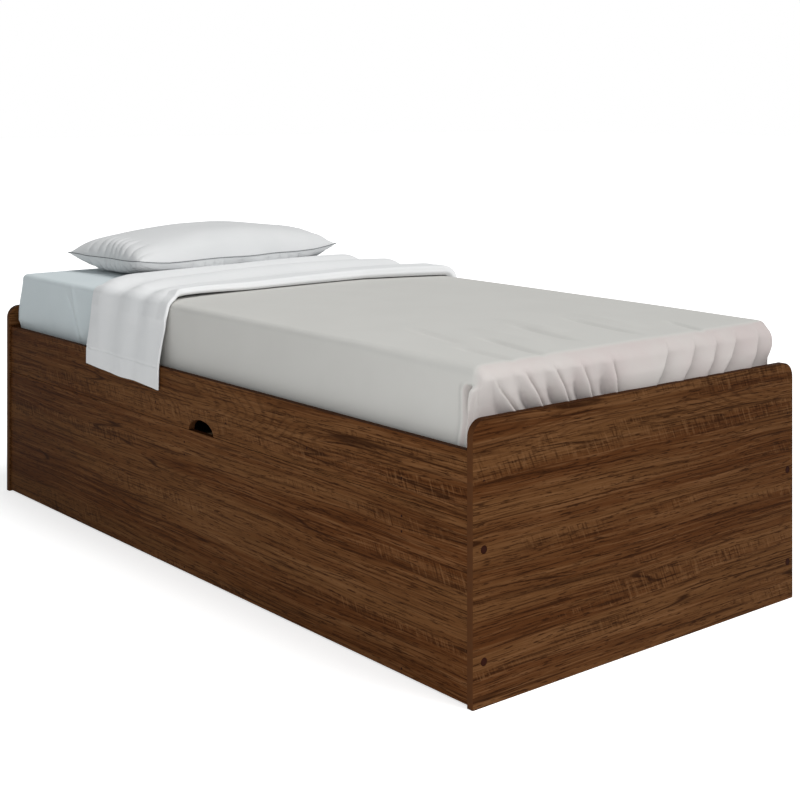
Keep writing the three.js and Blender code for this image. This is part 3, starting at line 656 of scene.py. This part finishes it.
# Shape of a fold: its start, the crease at its end, the groove beside it, its hollow and its level
FOLD_START = 20 * MM
CREASE_WIDTH = 7 * MM
GROOVE_WIDTH = 3 * MM
GROOVE_SHARE = 0.22
POCKET_SHARE = 0.35
FOLD_LEVEL = 0.72


def gathers(y, z):
    """How far the cover stands out of the foot end: folds that rise slowly and end in sharp creases."""
    height = np.zeros_like(y)
    places = []
    for top_y, top_z, low_y, low_z, _ in CREASES:
        share = (top_z * MM - z) / ((top_z - low_z) * MM)
        places.append((top_y + (low_y - top_y) * share) * MM)
    for (left, right), (first, second) in zip(zip(places, places[1:]), zip(CREASES, CREASES[1:])):
        inside = (y >= left) & (y < right)
        width = np.maximum(right - left, 1 * MM)
        share = (y - left) / width
        depth = first[4] * (1 - share) + second[4] * share
        top = (first[1] * (1 - share) + second[1] * share) * MM
        grown = np.clip((top + 6 * MM - z) / GATHER_DROP, 0, 1) ** 0.9
        from_left = np.exp(-(y - left) / FOLD_START)
        from_right = ease(right - y, CREASE_WIDTH, 0)
        # Folds on the left hand have a hollow before their crest, the others rise evenly
        if first[0] < 0:
            rise = 0.3 * ease(share, 0.02, 0.18) + 0.7 * ease(share, 0.58, 0.9)
            low = np.exp(-((share - 0.58) / 0.18) ** 2)
            rise = rise - 0.25 * low
        else:
            rise = ease(share, 0.02, 0.85)
            low = np.exp(-share / 0.35)
        shape = np.where(width > WIDE_FOLD, 1 - from_left, rise) - from_right
        groove = GROOVE_SHARE * np.exp(-((y - left) / GROOVE_WIDTH) ** 2)
        pocket = POCKET_SHARE * low * ease(z, 565 * MM, 520 * MM) * (width < WIDE_FOLD)
        height = np.where(inside, depth * grown * (shape - FOLD_LEVEL - groove - pocket), height)
    return height * GATHER_DEPTH


# Soft valleys on top of the cover near the foot: x and y at both ends, width and depth, in millimetres
TOP_WRINKLES = [
    (640, -60, 850, -98, 11, -5.5), (700, -215, 925, -262, 11, -6.0), (640, 98, 880, 62, 11, -5.0),
    (800, 245, 925, 205, 10, -4.5), (560, -20, 760, -40, 22, 3.5), (620, -160, 860, -175, 24, 4.0),
    (600, 160, 830, 140, 24, 3.5), (760, -330, 930, -345, 11, -5.0), (520, -250, 740, -300, 14, -3.5),
    (-100, -300, 500, -250, 60, 1.2), (0, 60, 620, 20, 70, 1.2),
]


# Pleat at the corner above the rail: a rim that bends headwards below, a slit beside it and a soft fold
EAR_PLACE = 927 * MM
EAR_TIP = 916 * MM
EAR_BEND = 508 * MM
EAR_TOP = 566 * MM
EAR_END = 942 * MM
EAR_RIM = 10 * MM
EAR_FOLD = 4 * MM
EAR_LINE = 4 * MM
SLIT_ABOVE, SLIT_BELOW = 2 * MM, 18 * MM


def ear(x, z):
    """How far the front side of the cover stands out at its foot end."""
    middle = EAR_TIP + (EAR_PLACE - EAR_TIP) * ease(z, rail_top - 20 * MM, EAR_BEND)
    below = ease(z, EAR_TOP + 4 * MM, EAR_TOP - 10 * MM)
    rim = EAR_RIM * ease(x, middle - 3 * MM, middle + 1 * MM) * ease(x, EAR_END, middle + 5 * MM)
    slit = np.exp(-((x - middle + 13 * MM) / (8 * MM)) ** 4)
    slit = slit * (SLIT_ABOVE + SLIT_BELOW * ease(z, 505 * MM, 545 * MM))
    fold = EAR_FOLD * np.exp(-((x - middle + 29 * MM) / (8 * MM)) ** 2)
    line = EAR_LINE * np.exp(-((x - middle - 8.5 * MM) / (1.8 * MM)) ** 2)
    return below * (rim - slit + fold - line)


def make_cover():
    lines = [
        lines_between(COVER_HEAD, half_x, 12 * MM, [
            (580 * MM, 870 * MM, 6 * MM), (870 * MM, half_x, 1.5 * MM)]),
        lines_between(-half_y, half_y, 2.5 * MM, [(-half_y, END_MARGIN - half_y, 2 * MM)]),
        lines_between(HEM - form_middle[2], half_z, 3 * MM),
    ]
    block, faces = box_shell(lines, [(0, -1), (1, 0), (1, -1), (2, -1)])
    points, out = round_off(block, COVER_OFFSET)
    x, y, z = points.T.copy()
    foot = ease(block[:, 0], half_x - FOOT_EDGE, half_x)
    facing = ease(out[:, 0], 0.15, 0.8)
    level = ease(z, board_top - 4 * MM, board_top + 36 * MM)
    level = level * ease(z, form_top, form_top - 26 * MM)
    across = y - middle_y
    beside = ease(np.abs(across), half_y - 85 * MM, half_y - 5 * MM)
    rear = beside * (across > 0)
    bulge = BULGE * level * (1 - 0.7 * rear)
    points[:, 0] += foot * facing * (gathers(y, z) * (1 - 0.8 * beside) + bulge)
    points[:, 0] -= FRONT_PULL * foot * beside * (across < 0) * ease(z, 585 * MM, 530 * MM)
    points[:, 0] -= REAR_PULL * foot * rear * ease(z, 558 * MM, 498 * MM)
    points[:, 0] -= SHOULDER * foot * rear * ease(z, 562 * MM, form_top)
    rear_push = ease(z, form_top, 565 * MM) * ease(z, 500 * MM, 555 * MM)
    points[:, 1] += 1 * MM * foot * rear * rear_push
    points[:, 2] += ease(out[:, 2], 0.6, 1) * valleys(x, y, TOP_WRINKLES)
    points += out * (0.35 * MM * ripple(x * 5 + 2, y * 7 + z * 5))[:, None]
    points[:, 1] -= ease(-out[:, 1], 0.2, 0.7) * ear(x, z)
    piece = mesh_piece("bed_cover_cloth", points, faces, COVER_GREY)
    solidify(piece, 1.2 * MM)
    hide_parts("bed_cover")


# Top sheet, folded back across the bed: y across the bed and the x of its edge there, in millimetres
SHEET_HEAD_EDGE = [
    (-475, -488), (-462, -496), (-448, -508), (-436, -510), (-414, -516), (-358, -582),
    (-290, -642), (-200, -652), (0, -653), (250, -640), (445, -621), (470, -600)]
SHEET_FOOT_EDGE = [
    (-475, -125), (-462, -137), (-450, -134), (-440, -122), (-425, -132), (-405, -154), (-380, -170),
    (-320, -180), (-240, -186), (0, -194), (200, -190), (330, -158), (430, -130), (470, -124)]

# Its ridges: place between the edges, width, height and how far each leans headwards at the rear
SHEET_RIDGES = [(0.17, 0.13, 0.78, 0.07), (0.5, 0.13, 0.95, 0.07), (0.86, 0.15, 1.0, 0)]
RIDGE_SWAY = 0.03
SHEET_COLUMNS = 150
SHEET_FULL = 16 * MM
SHEET_FULLER_REAR = 8.5 * MM
SHEET_OFFSET = 5 * MM
FLAP_BELOW_RAIL = 46 * MM
FLAP_SLANT = 13 * MM
FLAP_TURN = (395 * MM, 440 * MM)
FLAP_FOLDS = 1.3 * MM
REAR_DROP = 130 * MM
HEM_WIDTH = 47 * MM
HEM_LINE = 1.6 * MM


def sheet_path():
    """Where the top sheet goes across the bed: points, and their ways out."""
    edge = HEAD_EDGE + SHEET_OFFSET
    front = middle_y - half_y + HEAD_EDGE
    rear = middle_y + half_y - HEAD_EDGE
    centre = form_top - HEAD_EDGE
    hang_y, hang_z = rail_face - 2 * MM, rail_top + 2 * MM
    reach = math.hypot(front - hang_y, centre - hang_z)
    lean = math.acos(edge / reach) - math.atan2(centre - hang_z, front - hang_y)
    points, ways = [], []

    def line(start, end, way, pace=5 * MM):
        count = max(2, round(math.dist(start, end) / pace))
        for i in range(count):
            points.append([a + (b - a) * i / count for a, b in zip(start, end)])
            ways.append(way)

    def arc(middle, first, last):
        count = max(5, round(abs(last - first) * edge / (2.5 * MM)))
        for i in range(count):
            angle = first + (last - first) * i / count
            points.append([middle + edge * math.cos(angle), centre + edge * math.sin(angle)])
            ways.append([math.cos(angle), math.sin(angle)])

    touch = [front - edge * math.cos(lean), centre + edge * math.sin(lean)]
    bottom = rail_top - FLAP_BELOW_RAIL
    line([hang_y, bottom], [hang_y, hang_z], [-1, 0], 1.5 * MM)
    line([hang_y, hang_z], touch, [-math.cos(lean), math.sin(lean)], 3 * MM)
    arc(front, math.pi - lean, math.pi / 2)
    line([front, centre + edge], [rear, centre + edge], [0, 1])
    arc(rear, math.pi / 2, 0)
    line([rear + edge, centre], [rear + edge, form_top - REAR_DROP], [1, 0])
    return np.array(points), np.array(ways)


def edge_places(y, table):
    places = np.array(table) * MM
    smooth = np.linspace(places[0, 0], places[-1, 0], 200)
    values = np.interp(smooth, places[:, 0], places[:, 1])
    kernel = np.hanning(9) / np.hanning(9).sum()
    padded = np.concatenate([np.full(4, values[0]), values, np.full(4, values[-1])])
    return np.interp(y, smooth, np.convolve(padded, kernel, "valid"))


def sheet_ridges(u, y, flap, rearward):
    """The ridges as shares of the full height, over u from the head edge to the foot edge."""
    ridges = np.zeros_like(u * y)
    for place, width, size, lean in SHEET_RIDGES:
        shift = RIDGE_SWAY * np.sin(7 * y + 9 * place) - lean * rearward
        away = np.clip(np.abs(u - place - shift) / (width * 1.35), 0, 1)
        ridges = ridges + size * (1 - away * away) ** 2
    return np.maximum(ridges, ease(u, 0.78, 0.9) * (1 - 0.35 * flap))


def sheet_layers():
    """The upper and the lower layer of the folded sheet: full at its ridges, and round at both edges."""
    path, ways = sheet_path()
    u = 0.5 - 0.5 * np.cos(np.linspace(0, math.pi, SHEET_COLUMNS))
    u = (0.6 * u + 0.4 * np.linspace(0, 1, SHEET_COLUMNS))[None, :]
    y, z = path[:, :1], path[:, 1:]
    bottom = path[0, 1]
    head, foot = edge_places(y, SHEET_HEAD_EDGE), edge_places(y, SHEET_FOOT_EDGE)
    in_front = y < 0
    hanging = np.clip((form_top - z) / (form_top - bottom), 0, 1)
    flap = np.maximum(in_front * ease(hanging, 0, 0.35), 0.6 * ease(-y, *FLAP_TURN))
    rearward = ease(y, mattress_low[1], mattress_high[1])
    height = (SHEET_FULL + SHEET_FULLER_REAR * rearward) * (1 - 0.75 * flap)
    height = height * (1 - 0.6 * ~in_front * hanging)

    floor = 0.08 + 0.17 * rearward
    full = 1.2 * MM + 0.5 * height * (floor + (1 - floor) * sheet_ridges(u, y, flap, rearward))
    ends = np.clip((foot - head) * np.minimum(u, 1 - u) / np.maximum(full, 1.5 * MM), 0, 1)
    rounding = np.sqrt(np.clip(1 - (1 - ends) ** 2, 0, 1))
    gap = 0.02 + 0.38 * ease(y, -150 * MM, -380 * MM)
    lift = gap * height * ease(u, 0.88, 1) * (1 - 0.5 * flap)
    hem = in_front * np.exp(-((z - bottom - HEM_WIDTH) / HEM_LINE) ** 2) * HEM_LINE
    folds = flap * ease(hanging, 1.0, 0.4) * FLAP_FOLDS * np.cos(math.tau * 3 * u)
    grain = 0.4 * MM * ripple(u * 14 + 3, y * 9 + z * 7)
    slant = FLAP_SLANT * (u - 0.5) * in_front * ease(hanging, 0.6, 1)
    edge_wave = in_front * ease(hanging, 0.9, 1) * 1.5 * MM * np.sin(u * 9 + 1)
    layers = []
    for face in (1, -1):
        out = full + lift + (full + grain) * rounding * face - folds - (hem if face > 0 else 0)
        points = np.zeros(out.shape + (3,))
        points[..., 0] = head + (foot - head) * u
        points[..., 1] = y + ways[:, :1] * out
        points[..., 2] = z + ways[:, 1:] * out - slant + edge_wave
        points[..., 2] += (z > form_top) * crown(points[..., 0], y - middle_y)
        layers.append(points)
    return layers


def make_top_sheet():
    layers = sheet_layers()
    rows, columns = layers[0].shape[:2]
    count = rows * columns
    index = np.arange(count).reshape(rows, columns)
    rim = np.concatenate([index[0], index[1:, -1], index[-1, -2::-1], index[-2:0:-1, 0]])
    after = np.roll(rim, -1)
    joint = np.stack([rim, after, after + count, rim + count], axis=1)
    points = np.concatenate([layer.reshape(-1, 3) for layer in layers])
    faces = np.concatenate([quads(index)[:, ::-1], quads(index + count), joint])
    piece = mesh_piece("top_sheet_cloth", points, faces, COTTON_WHITE)
    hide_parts("top_sheet")


# Pillow: a flat case is filled by cloth simulation up to its volume, then set down on the bed
PILLOW_LENGTH = 694 * MM
PILLOW_WIDTH = 374 * MM
PILLOW_ABOVE = 76 * MM
PILLOW_BELOW = 46 * MM
PILLOW_PLACE = (mattress_low[0] + 168.5 * MM, middle_y + 55 * MM)
PILLOW_TURN = math.radians(3.6)
PILLOW_VOLUME = 0.0222
CASE_COUNTS = (56, 104)
FINER = 3
CASE_EASE = 1.03
CASE_START = 18 * MM
CASE_CLOTH = {
    "quality": 6, "tension_stiffness": 30, "compression_stiffness": 30, "shear_stiffness": 5,
    "bending_stiffness": 0.4, "air_damping": 4, "use_pressure": True, "use_pressure_volume": True,
    "target_volume": PILLOW_VOLUME, "pressure_factor": 3, "uniform_pressure_force": 0,
}
SIM_FRAMES = 34
SMOOTHING = 24
SEAM_SAG = 21 * MM
TIP_LIFT_REAR, TIP_LIFT_FRONT = 12 * MM, 6 * MM
BELOW_FADE = 5 * MM
PLEAT_DEPTH = 6 * MM
PLEATS = 12
LOWER_PLEATS = 1.5
TUCK_DEPTH = 5 * MM
TUCKS = 13
SEAM_RADIUS = 0.9 * MM


def case_mesh(upper, lower):
    """Points, faces and rim of two layers of cloth, given as grids of points that share their border."""
    index = np.arange(upper[..., 0].size).reshape(upper.shape[:2])
    inner = np.zeros(index.shape, bool)
    inner[1:-1, 1:-1] = True
    under = index.copy()
    under[inner] = np.arange(inner.sum()) + index.size
    points = np.concatenate([upper.reshape(-1, 3), lower[inner]])
    rim = np.concatenate([index[0, :-1], index[:-1, -1], index[-1, :0:-1], index[:0:-1, 0]])
    return points, np.concatenate([quads(index), quads(under)[:, ::-1]]), rim, index, under


def flat_case():
    columns, rows = CASE_COUNTS
    s, t = np.meshgrid(np.linspace(-1, 1, columns + 1), np.linspace(-1, 1, rows + 1), indexing="ij")
    full = (1 - s ** 4) * (1 - t ** 4)
    noise = np.random.default_rng(3).normal(0, 0.6 * MM, s.shape) * full
    x, y = s * CASE_EASE * PILLOW_WIDTH / 2, t * CASE_EASE * PILLOW_LENGTH / 2
    return [np.stack([x, y, face * CASE_START * full + noise], axis=-1) for face in (1, -1)]


def fill_case(points, faces):
    case = add_mesh("case", points, faces)
    cloth = case.modifiers.new("cloth", "CLOTH")
    for key, value in CASE_CLOTH.items():
        setattr(cloth.settings, key, value)
    cloth.settings.effector_weights.gravity = 0
    cloth.point_cache.frame_start = 1
    cloth.point_cache.frame_end = SIM_FRAMES
    scene = bpy.context.scene
    for step in range(1, SIM_FRAMES + 1):
        scene.frame_set(step)
    graph = bpy.context.evaluated_depsgraph_get()
    filled = np.array([vertex.co[:] for vertex in case.evaluated_get(graph).data.vertices])
    bpy.data.meshes.remove(case.data)
    scene.frame_set(1)
    return filled


def soften(grid, rounds):
    """Moves the points towards the middle of their neighbours, those of the seam along it."""
    for _ in range(rounds):
        for edge in 3 * [grid[0], grid[-1], grid[:, 0], grid[:, -1]]:
            edge[1:-1] += ((edge[:-2] + edge[2:]) / 2 - edge[1:-1]) / 2
        middle = (grid[:-2, 1:-1] + grid[2:, 1:-1] + grid[1:-1, :-2] + grid[1:-1, 2:]) / 4
        grid[1:-1, 1:-1] += (middle - grid[1:-1, 1:-1]) / 2
    return grid


def finer(grid, times):
    """The grid with more points, on smooth curves through its own."""
    for _ in range(2):
        count = len(grid)
        place = np.linspace(0, count - 1, (count - 1) * times + 1)
        low = np.minimum(place.astype(int), count - 2)
        share = (place - low)[:, None, None]
        before, after = grid[np.maximum(low - 1, 0)], grid[np.minimum(low + 2, count - 1)]
        first, second = grid[low], grid[low + 1]
        grid = 0.5 * (
            2 * first + (second - before) * share
            + (2 * before - 5 * first + 4 * second - after) * share ** 2
            + (3 * first - before - 3 * second + after) * share ** 3)
        grid = np.swapaxes(grid, 0, 1)
    return grid


def pleats(x, y, face):
    """Gathers beside the seams: fans at the short sides, and small tucks under the long sides."""
    from_short = PILLOW_LENGTH / 2 - np.abs(y)
    reach = ease(from_short, 2 * MM, 15 * MM) * ease(from_short, 90 * MM, 30 * MM)
    share = x / PILLOW_WIDTH + 0.5
    fan = share * PLEATS + 9 * from_short * (share - 0.75) + 0.35 * np.sin(11 * share)
    wave = np.abs(np.sin(math.pi * fan)) ** 0.7 - 0.65
    height = 0.55 + 0.45 * np.sin(23 * share + 1) ** 2
    short = PLEAT_DEPTH * height * reach * wave * ease(share, 0.12, 0.3) * ease(share, 1, 0.94)
    if face > 0:
        return short
    from_long = PILLOW_WIDTH / 2 - np.abs(x)
    near_long = ease(from_long, 4 * MM, 16 * MM) * ease(from_long, 46 * MM, 18 * MM)
    along = y / PILLOW_LENGTH + 0.5
    tucks = np.abs(np.sin(math.pi * (along * TUCKS + 0.5 * np.sin(17 * along)))) ** 0.6 - 0.7
    long = TUCK_DEPTH * near_long * tucks * ease(along, 0.1, 0.25) * ease(along, 0.97, 0.85)
    return LOWER_PLEATS * short + long


def pillow_layer(grid, face, height):
    """A filled layer brought to its height, and fuller beside the seams."""
    x, y = grid[..., 0], grid[..., 1]
    rise = face * grid[..., 2]
    share = np.clip(rise / rise.max(), 0, 1)
    from_short = ease(PILLOW_LENGTH / 2 - np.abs(y), 140 * MM, 20 * MM)
    tips = np.abs(2 * x / PILLOW_WIDTH) ** 3 * np.abs(2 * y / PILLOW_LENGTH) ** 3
    rise = height * share ** (0.7 - 0.1 * from_short) * (1.12 - 0.12 * share) * (1 - 0.3 * tips)
    if face < 0:
        start = PILLOW_BELOW - BELOW_FADE
        rise = np.minimum(rise, start + BELOW_FADE * np.tanh((rise - start) / BELOW_FADE))
    sag = SEAM_SAG * np.clip(2 * x / PILLOW_WIDTH, 0, 1) ** 5 * (1 - (2 * y / PILLOW_LENGTH) ** 2)
    lift = np.where(y > 0, TIP_LIFT_REAR, np.where(x > 0, TIP_LIFT_FRONT, 0))
    return np.maximum(face * rise - sag + lift * tips, -PILLOW_BELOW)


def pleated(grid, face):
    """How the pleats move each point of a layer along its way out."""
    way = np.cross(np.gradient(grid, axis=0), np.gradient(grid, axis=1)) * face
    way /= np.maximum(np.linalg.norm(way, axis=-1, keepdims=True), 1e-9)
    steps = [np.minimum(np.arange(count), np.arange(count)[::-1]) for count in grid.shape[:2]]
    inset = np.minimum(steps[0][:, None], steps[1][None, :]) / FINER
    clear = ease(grid[..., 2], -PILLOW_BELOW, 14 * MM - PILLOW_BELOW)
    return way * (pleats(grid[..., 0], grid[..., 1], face) * ease(inset, 0, 1.3) * clear)[..., None]


def make_pillow():
    layers = flat_case()
    points, faces, _, index, under = case_mesh(*layers)
    points = fill_case(points, faces)
    layers = [points[index], points[under]]
    spans = np.ptp(points[:, 0]), np.ptp(points[:, 1])
    placed = []
    for layer, face, height in zip(layers, (1, -1), (PILLOW_ABOVE, 1.3 * PILLOW_BELOW)):
        layer = layer * [PILLOW_WIDTH / spans[0], PILLOW_LENGTH / spans[1], 1]
        grid = finer(soften(layer, SMOOTHING), FINER)
        grid[..., 2] = pillow_layer(grid, face, height)
        grid += pleated(grid, face)
        cosine, sine = math.cos(PILLOW_TURN), math.sin(PILLOW_TURN)
        x, y = grid[..., 0].copy(), grid[..., 1].copy()
        grid[..., 0] = PILLOW_PLACE[0] + x * cosine - y * sine
        grid[..., 1] = PILLOW_PLACE[1] + x * sine + y * cosine
        grid[..., 2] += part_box("pillow")[0].z + PILLOW_BELOW
        placed.append(grid)
    points, faces, rim, _, _ = case_mesh(*placed)
    piece = mesh_piece("pillow_case", points, faces, PILLOW_WHITE)
    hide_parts("pillow")
    cord_round("pillow_seam", points[rim], points.mean(axis=0), SEAM_RADIUS, SEAM_CORD_SHADE)


def cord_round(name, loop, middle, radius, material):
    """A closed cord along a loop of points, just outside it."""
    sides = 8
    away = loop - middle
    away[:, 2] = 0
    away /= np.linalg.norm(away, axis=1)[:, None]
    along = np.roll(loop, -1, axis=0) - np.roll(loop, 1, axis=0)
    along /= np.linalg.norm(along, axis=1)[:, None]
    out = away - (away * along).sum(axis=1)[:, None] * along
    out /= np.linalg.norm(out, axis=1)[:, None]
    up = np.cross(along, out)
    angles = (np.arange(sides) * math.tau / sides)[None, :, None]
    rings = loop[:, None] + out[:, None] * radius * 0.6
    rings = rings + radius * (np.cos(angles) * out[:, None] + np.sin(angles) * up[:, None])
    index = np.arange(len(loop) * sides).reshape(len(loop), sides)
    index = np.pad(index, ((0, 1), (0, 1)), "wrap")
    mesh_piece(name, rings.reshape(-1, 3), quads(index), material)


# Screw heads and pins, each a low dome on the face that it sits in
def domes(name, places, way, size, material, body="bed_frame"):
    diameter, height = size
    sides, rings = 16, 4
    way = np.array(way, float)
    first = np.cross(way, [0, 0, 1] if abs(way[2]) < 0.5 else [1, 0, 0])
    second = np.cross(way, first)
    points, faces = [], []
    for place in places:
        start = len(points)
        for ring in range(rings):
            tilt = ring / rings * math.pi / 2
            for angle in np.arange(sides) * math.tau / sides:
                flat = first * math.cos(angle) + second * math.sin(angle)
                point = flat * math.cos(tilt) * diameter / 2 + way * math.sin(tilt) * height
                points.append(np.array(place) + point)
        points.append(np.array(place) + way * height)
        for ring in range(rings - 1):
            for i in range(sides):
                a, b = start + ring * sides + i, start + ring * sides + (i + 1) % sides
                faces.append([a, b, b + sides, a + sides])
        last = start + (rings - 1) * sides
        faces.extend([last + i, last + (i + 1) % sides, start + rings * sides] for i in range(sides))
        faces.append([start + i for i in reversed(range(sides))])
    mesh_piece(name, points, faces, material, body)


# Small fixings: diameter and height of each kind, and their places
SCREW_DARK = plastic("screw_dark", colour(36, 15, 7), 0.7)
SCREW_SIZE = (5 * MM, 0.5 * MM)
PIN_SIZE = (4 * MM, 0.4 * MM)
CASTER_SCREW_SIZE = (7 * MM, 2 * MM)
RAIL_SCREW_SHARES = (-1, -0.6, -0.2, 0.2, 0.6, 1)
DRAWER_SCREW_LEVELS = (14 * MM, 272 * MM, 301 * MM)
PIN_LEVEL = 404 * MM
PIN_FROM_FRONT = 27 * MM
PIN_FROM_REAR = 17.7 * MM
CASTER_SCREW_X = 16 * MM
CASTER_SCREW_Y = 25 * MM


def middle_of(node):
    low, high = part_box(node)
    return (low + high) / 2


def make_fixings():
    level = middle_of("front_cleat").z
    column = middle_of("drawer_side_foot").x
    places = [(column * share, rail_face, level) for share in RAIL_SCREW_SHARES]
    domes("rail_screw_caps", places, (0, -1, 0), SCREW_SIZE, SCREW_DARK)
    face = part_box("drawer_front")[0].y
    columns = (-column, middle_of("drawer_divider").x, column)
    places = [(x, face, z) for x in columns for z in DRAWER_SCREW_LEVELS]
    domes("drawer_screw_caps", places, (0, -1, 0), SCREW_SIZE, SCREW_DARK, "drawer")
    for board, way in (("headboard", -1), ("footboard", 1)):
        low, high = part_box(board)
        face = high.x if way > 0 else low.x
        places = [(face, y, PIN_LEVEL) for y in (low.y + PIN_FROM_FRONT, high.y - PIN_FROM_REAR)]
        domes(board + "_pins", places, (way, 0, 0), PIN_SIZE, SCREW_DARK)
    places = []
    for name in nodes:
        if name.startswith("caster_fork_"):
            middle = middle_of(name)
            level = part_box(name)[1].z - CASTER_SCREW_SIZE[1]
            places += [
                (middle.x + i * CASTER_SCREW_X, middle.y + j * CASTER_SCREW_Y, level)
                for i in (-1, 1) for j in (-1, 1)]
    steel = bpy.data.materials["zinc"]
    domes("caster_screws", places, (0, 0, -1), CASTER_SCREW_SIZE, steel, "drawer")


# Floor, lights and world: the backdrop is white where it is seen, and the floor keeps the shadow
FLOOR_SIZE = 40
FLOOR_WHITE = colour(238, 238, 238)
FLOOR_GLOW = 0.62
WORLD_TINT = (0.95, 0.985, 1, 1)
WHITE = (1, 1, 1, 1)
AMBIENT = 0.31
SUN = 2.1
SUN_ANGLE = 34
FILL = 20
FILL_SIZE = 1.6

# The floor's glow fades out under the bed, between these distances from its middle
UNDER_BED = {"X": (950 * MM, 920 * MM), "Y": (460 * MM, 430 * MM)}


def make_stage():
    corners = [(FLOOR_SIZE * i, FLOOR_SIZE * j, 0) for i, j in ((-1, -1), (1, -1), (1, 1), (-1, 1))]
    floor = add_mesh("floor", corners, [(0, 1, 2, 3)])
    tree = Tree("floor_white")
    split = tree.parts(tree.coordinate())
    along, across = (
        tree.spread(tree.math("ABSOLUTE", split[axis]), *fade) for axis, fade in UNDER_BED.items())
    beside = tree.math("SUBTRACT", 1.0, tree.times(along, across))
    glow = tree.times(tree.times(tree.seen(), beside), FLOOR_GLOW)
    material = tree.surface(
        FLOOR_WHITE, 1.0, Specular_IOR_Level=0.0, Emission_Color=WHITE, Emission_Strength=glow)
    floor.data.materials.append(material)


def aimed(name, kind, place, target, energy, tint):
    data = bpy.data.lights.new(name, kind)
    data.energy = energy
    data.color = tint
    light = add_object(name, data)
    light.location = place
    aim = np.array(target) - np.array(place)
    light.rotation_euler = (math.acos(-aim[2] / np.linalg.norm(aim)), 0, math.atan2(-aim[0], aim[1]))
    return data


def make_lights():
    key = aimed("key", "SUN", (3.0, 1.7, 4.7), (0, 0, 0), SUN, (1.0, 0.985, 0.97))
    key.angle = math.radians(SUN_ANGLE)
    fill = aimed("fill", "AREA", (2.2, -2.1, 0.95), (0.7, -0.4, 0.35), FILL, (1.0, 0.995, 0.99))
    fill.size = FILL_SIZE
    tree = Tree("studio", "worlds")
    bpy.context.scene.world = tree.owner
    seen = tree.seen()
    background = tree.nodes["Background"].inputs
    tree.put(background["Strength"], tree.math("MULTIPLY_ADD", seen, 1 - AMBIENT, AMBIENT))
    tree.put(background["Color"], tree.mix(seen, WORLD_TINT, WHITE))
    bpy.context.scene.view_settings.view_transform = "Standard"


make_camera()
make_stage()
make_lights()
dress_frame()
make_mattress()
make_fitted_sheet()
make_cover()
make_top_sheet()
make_pillow()
make_fixings()
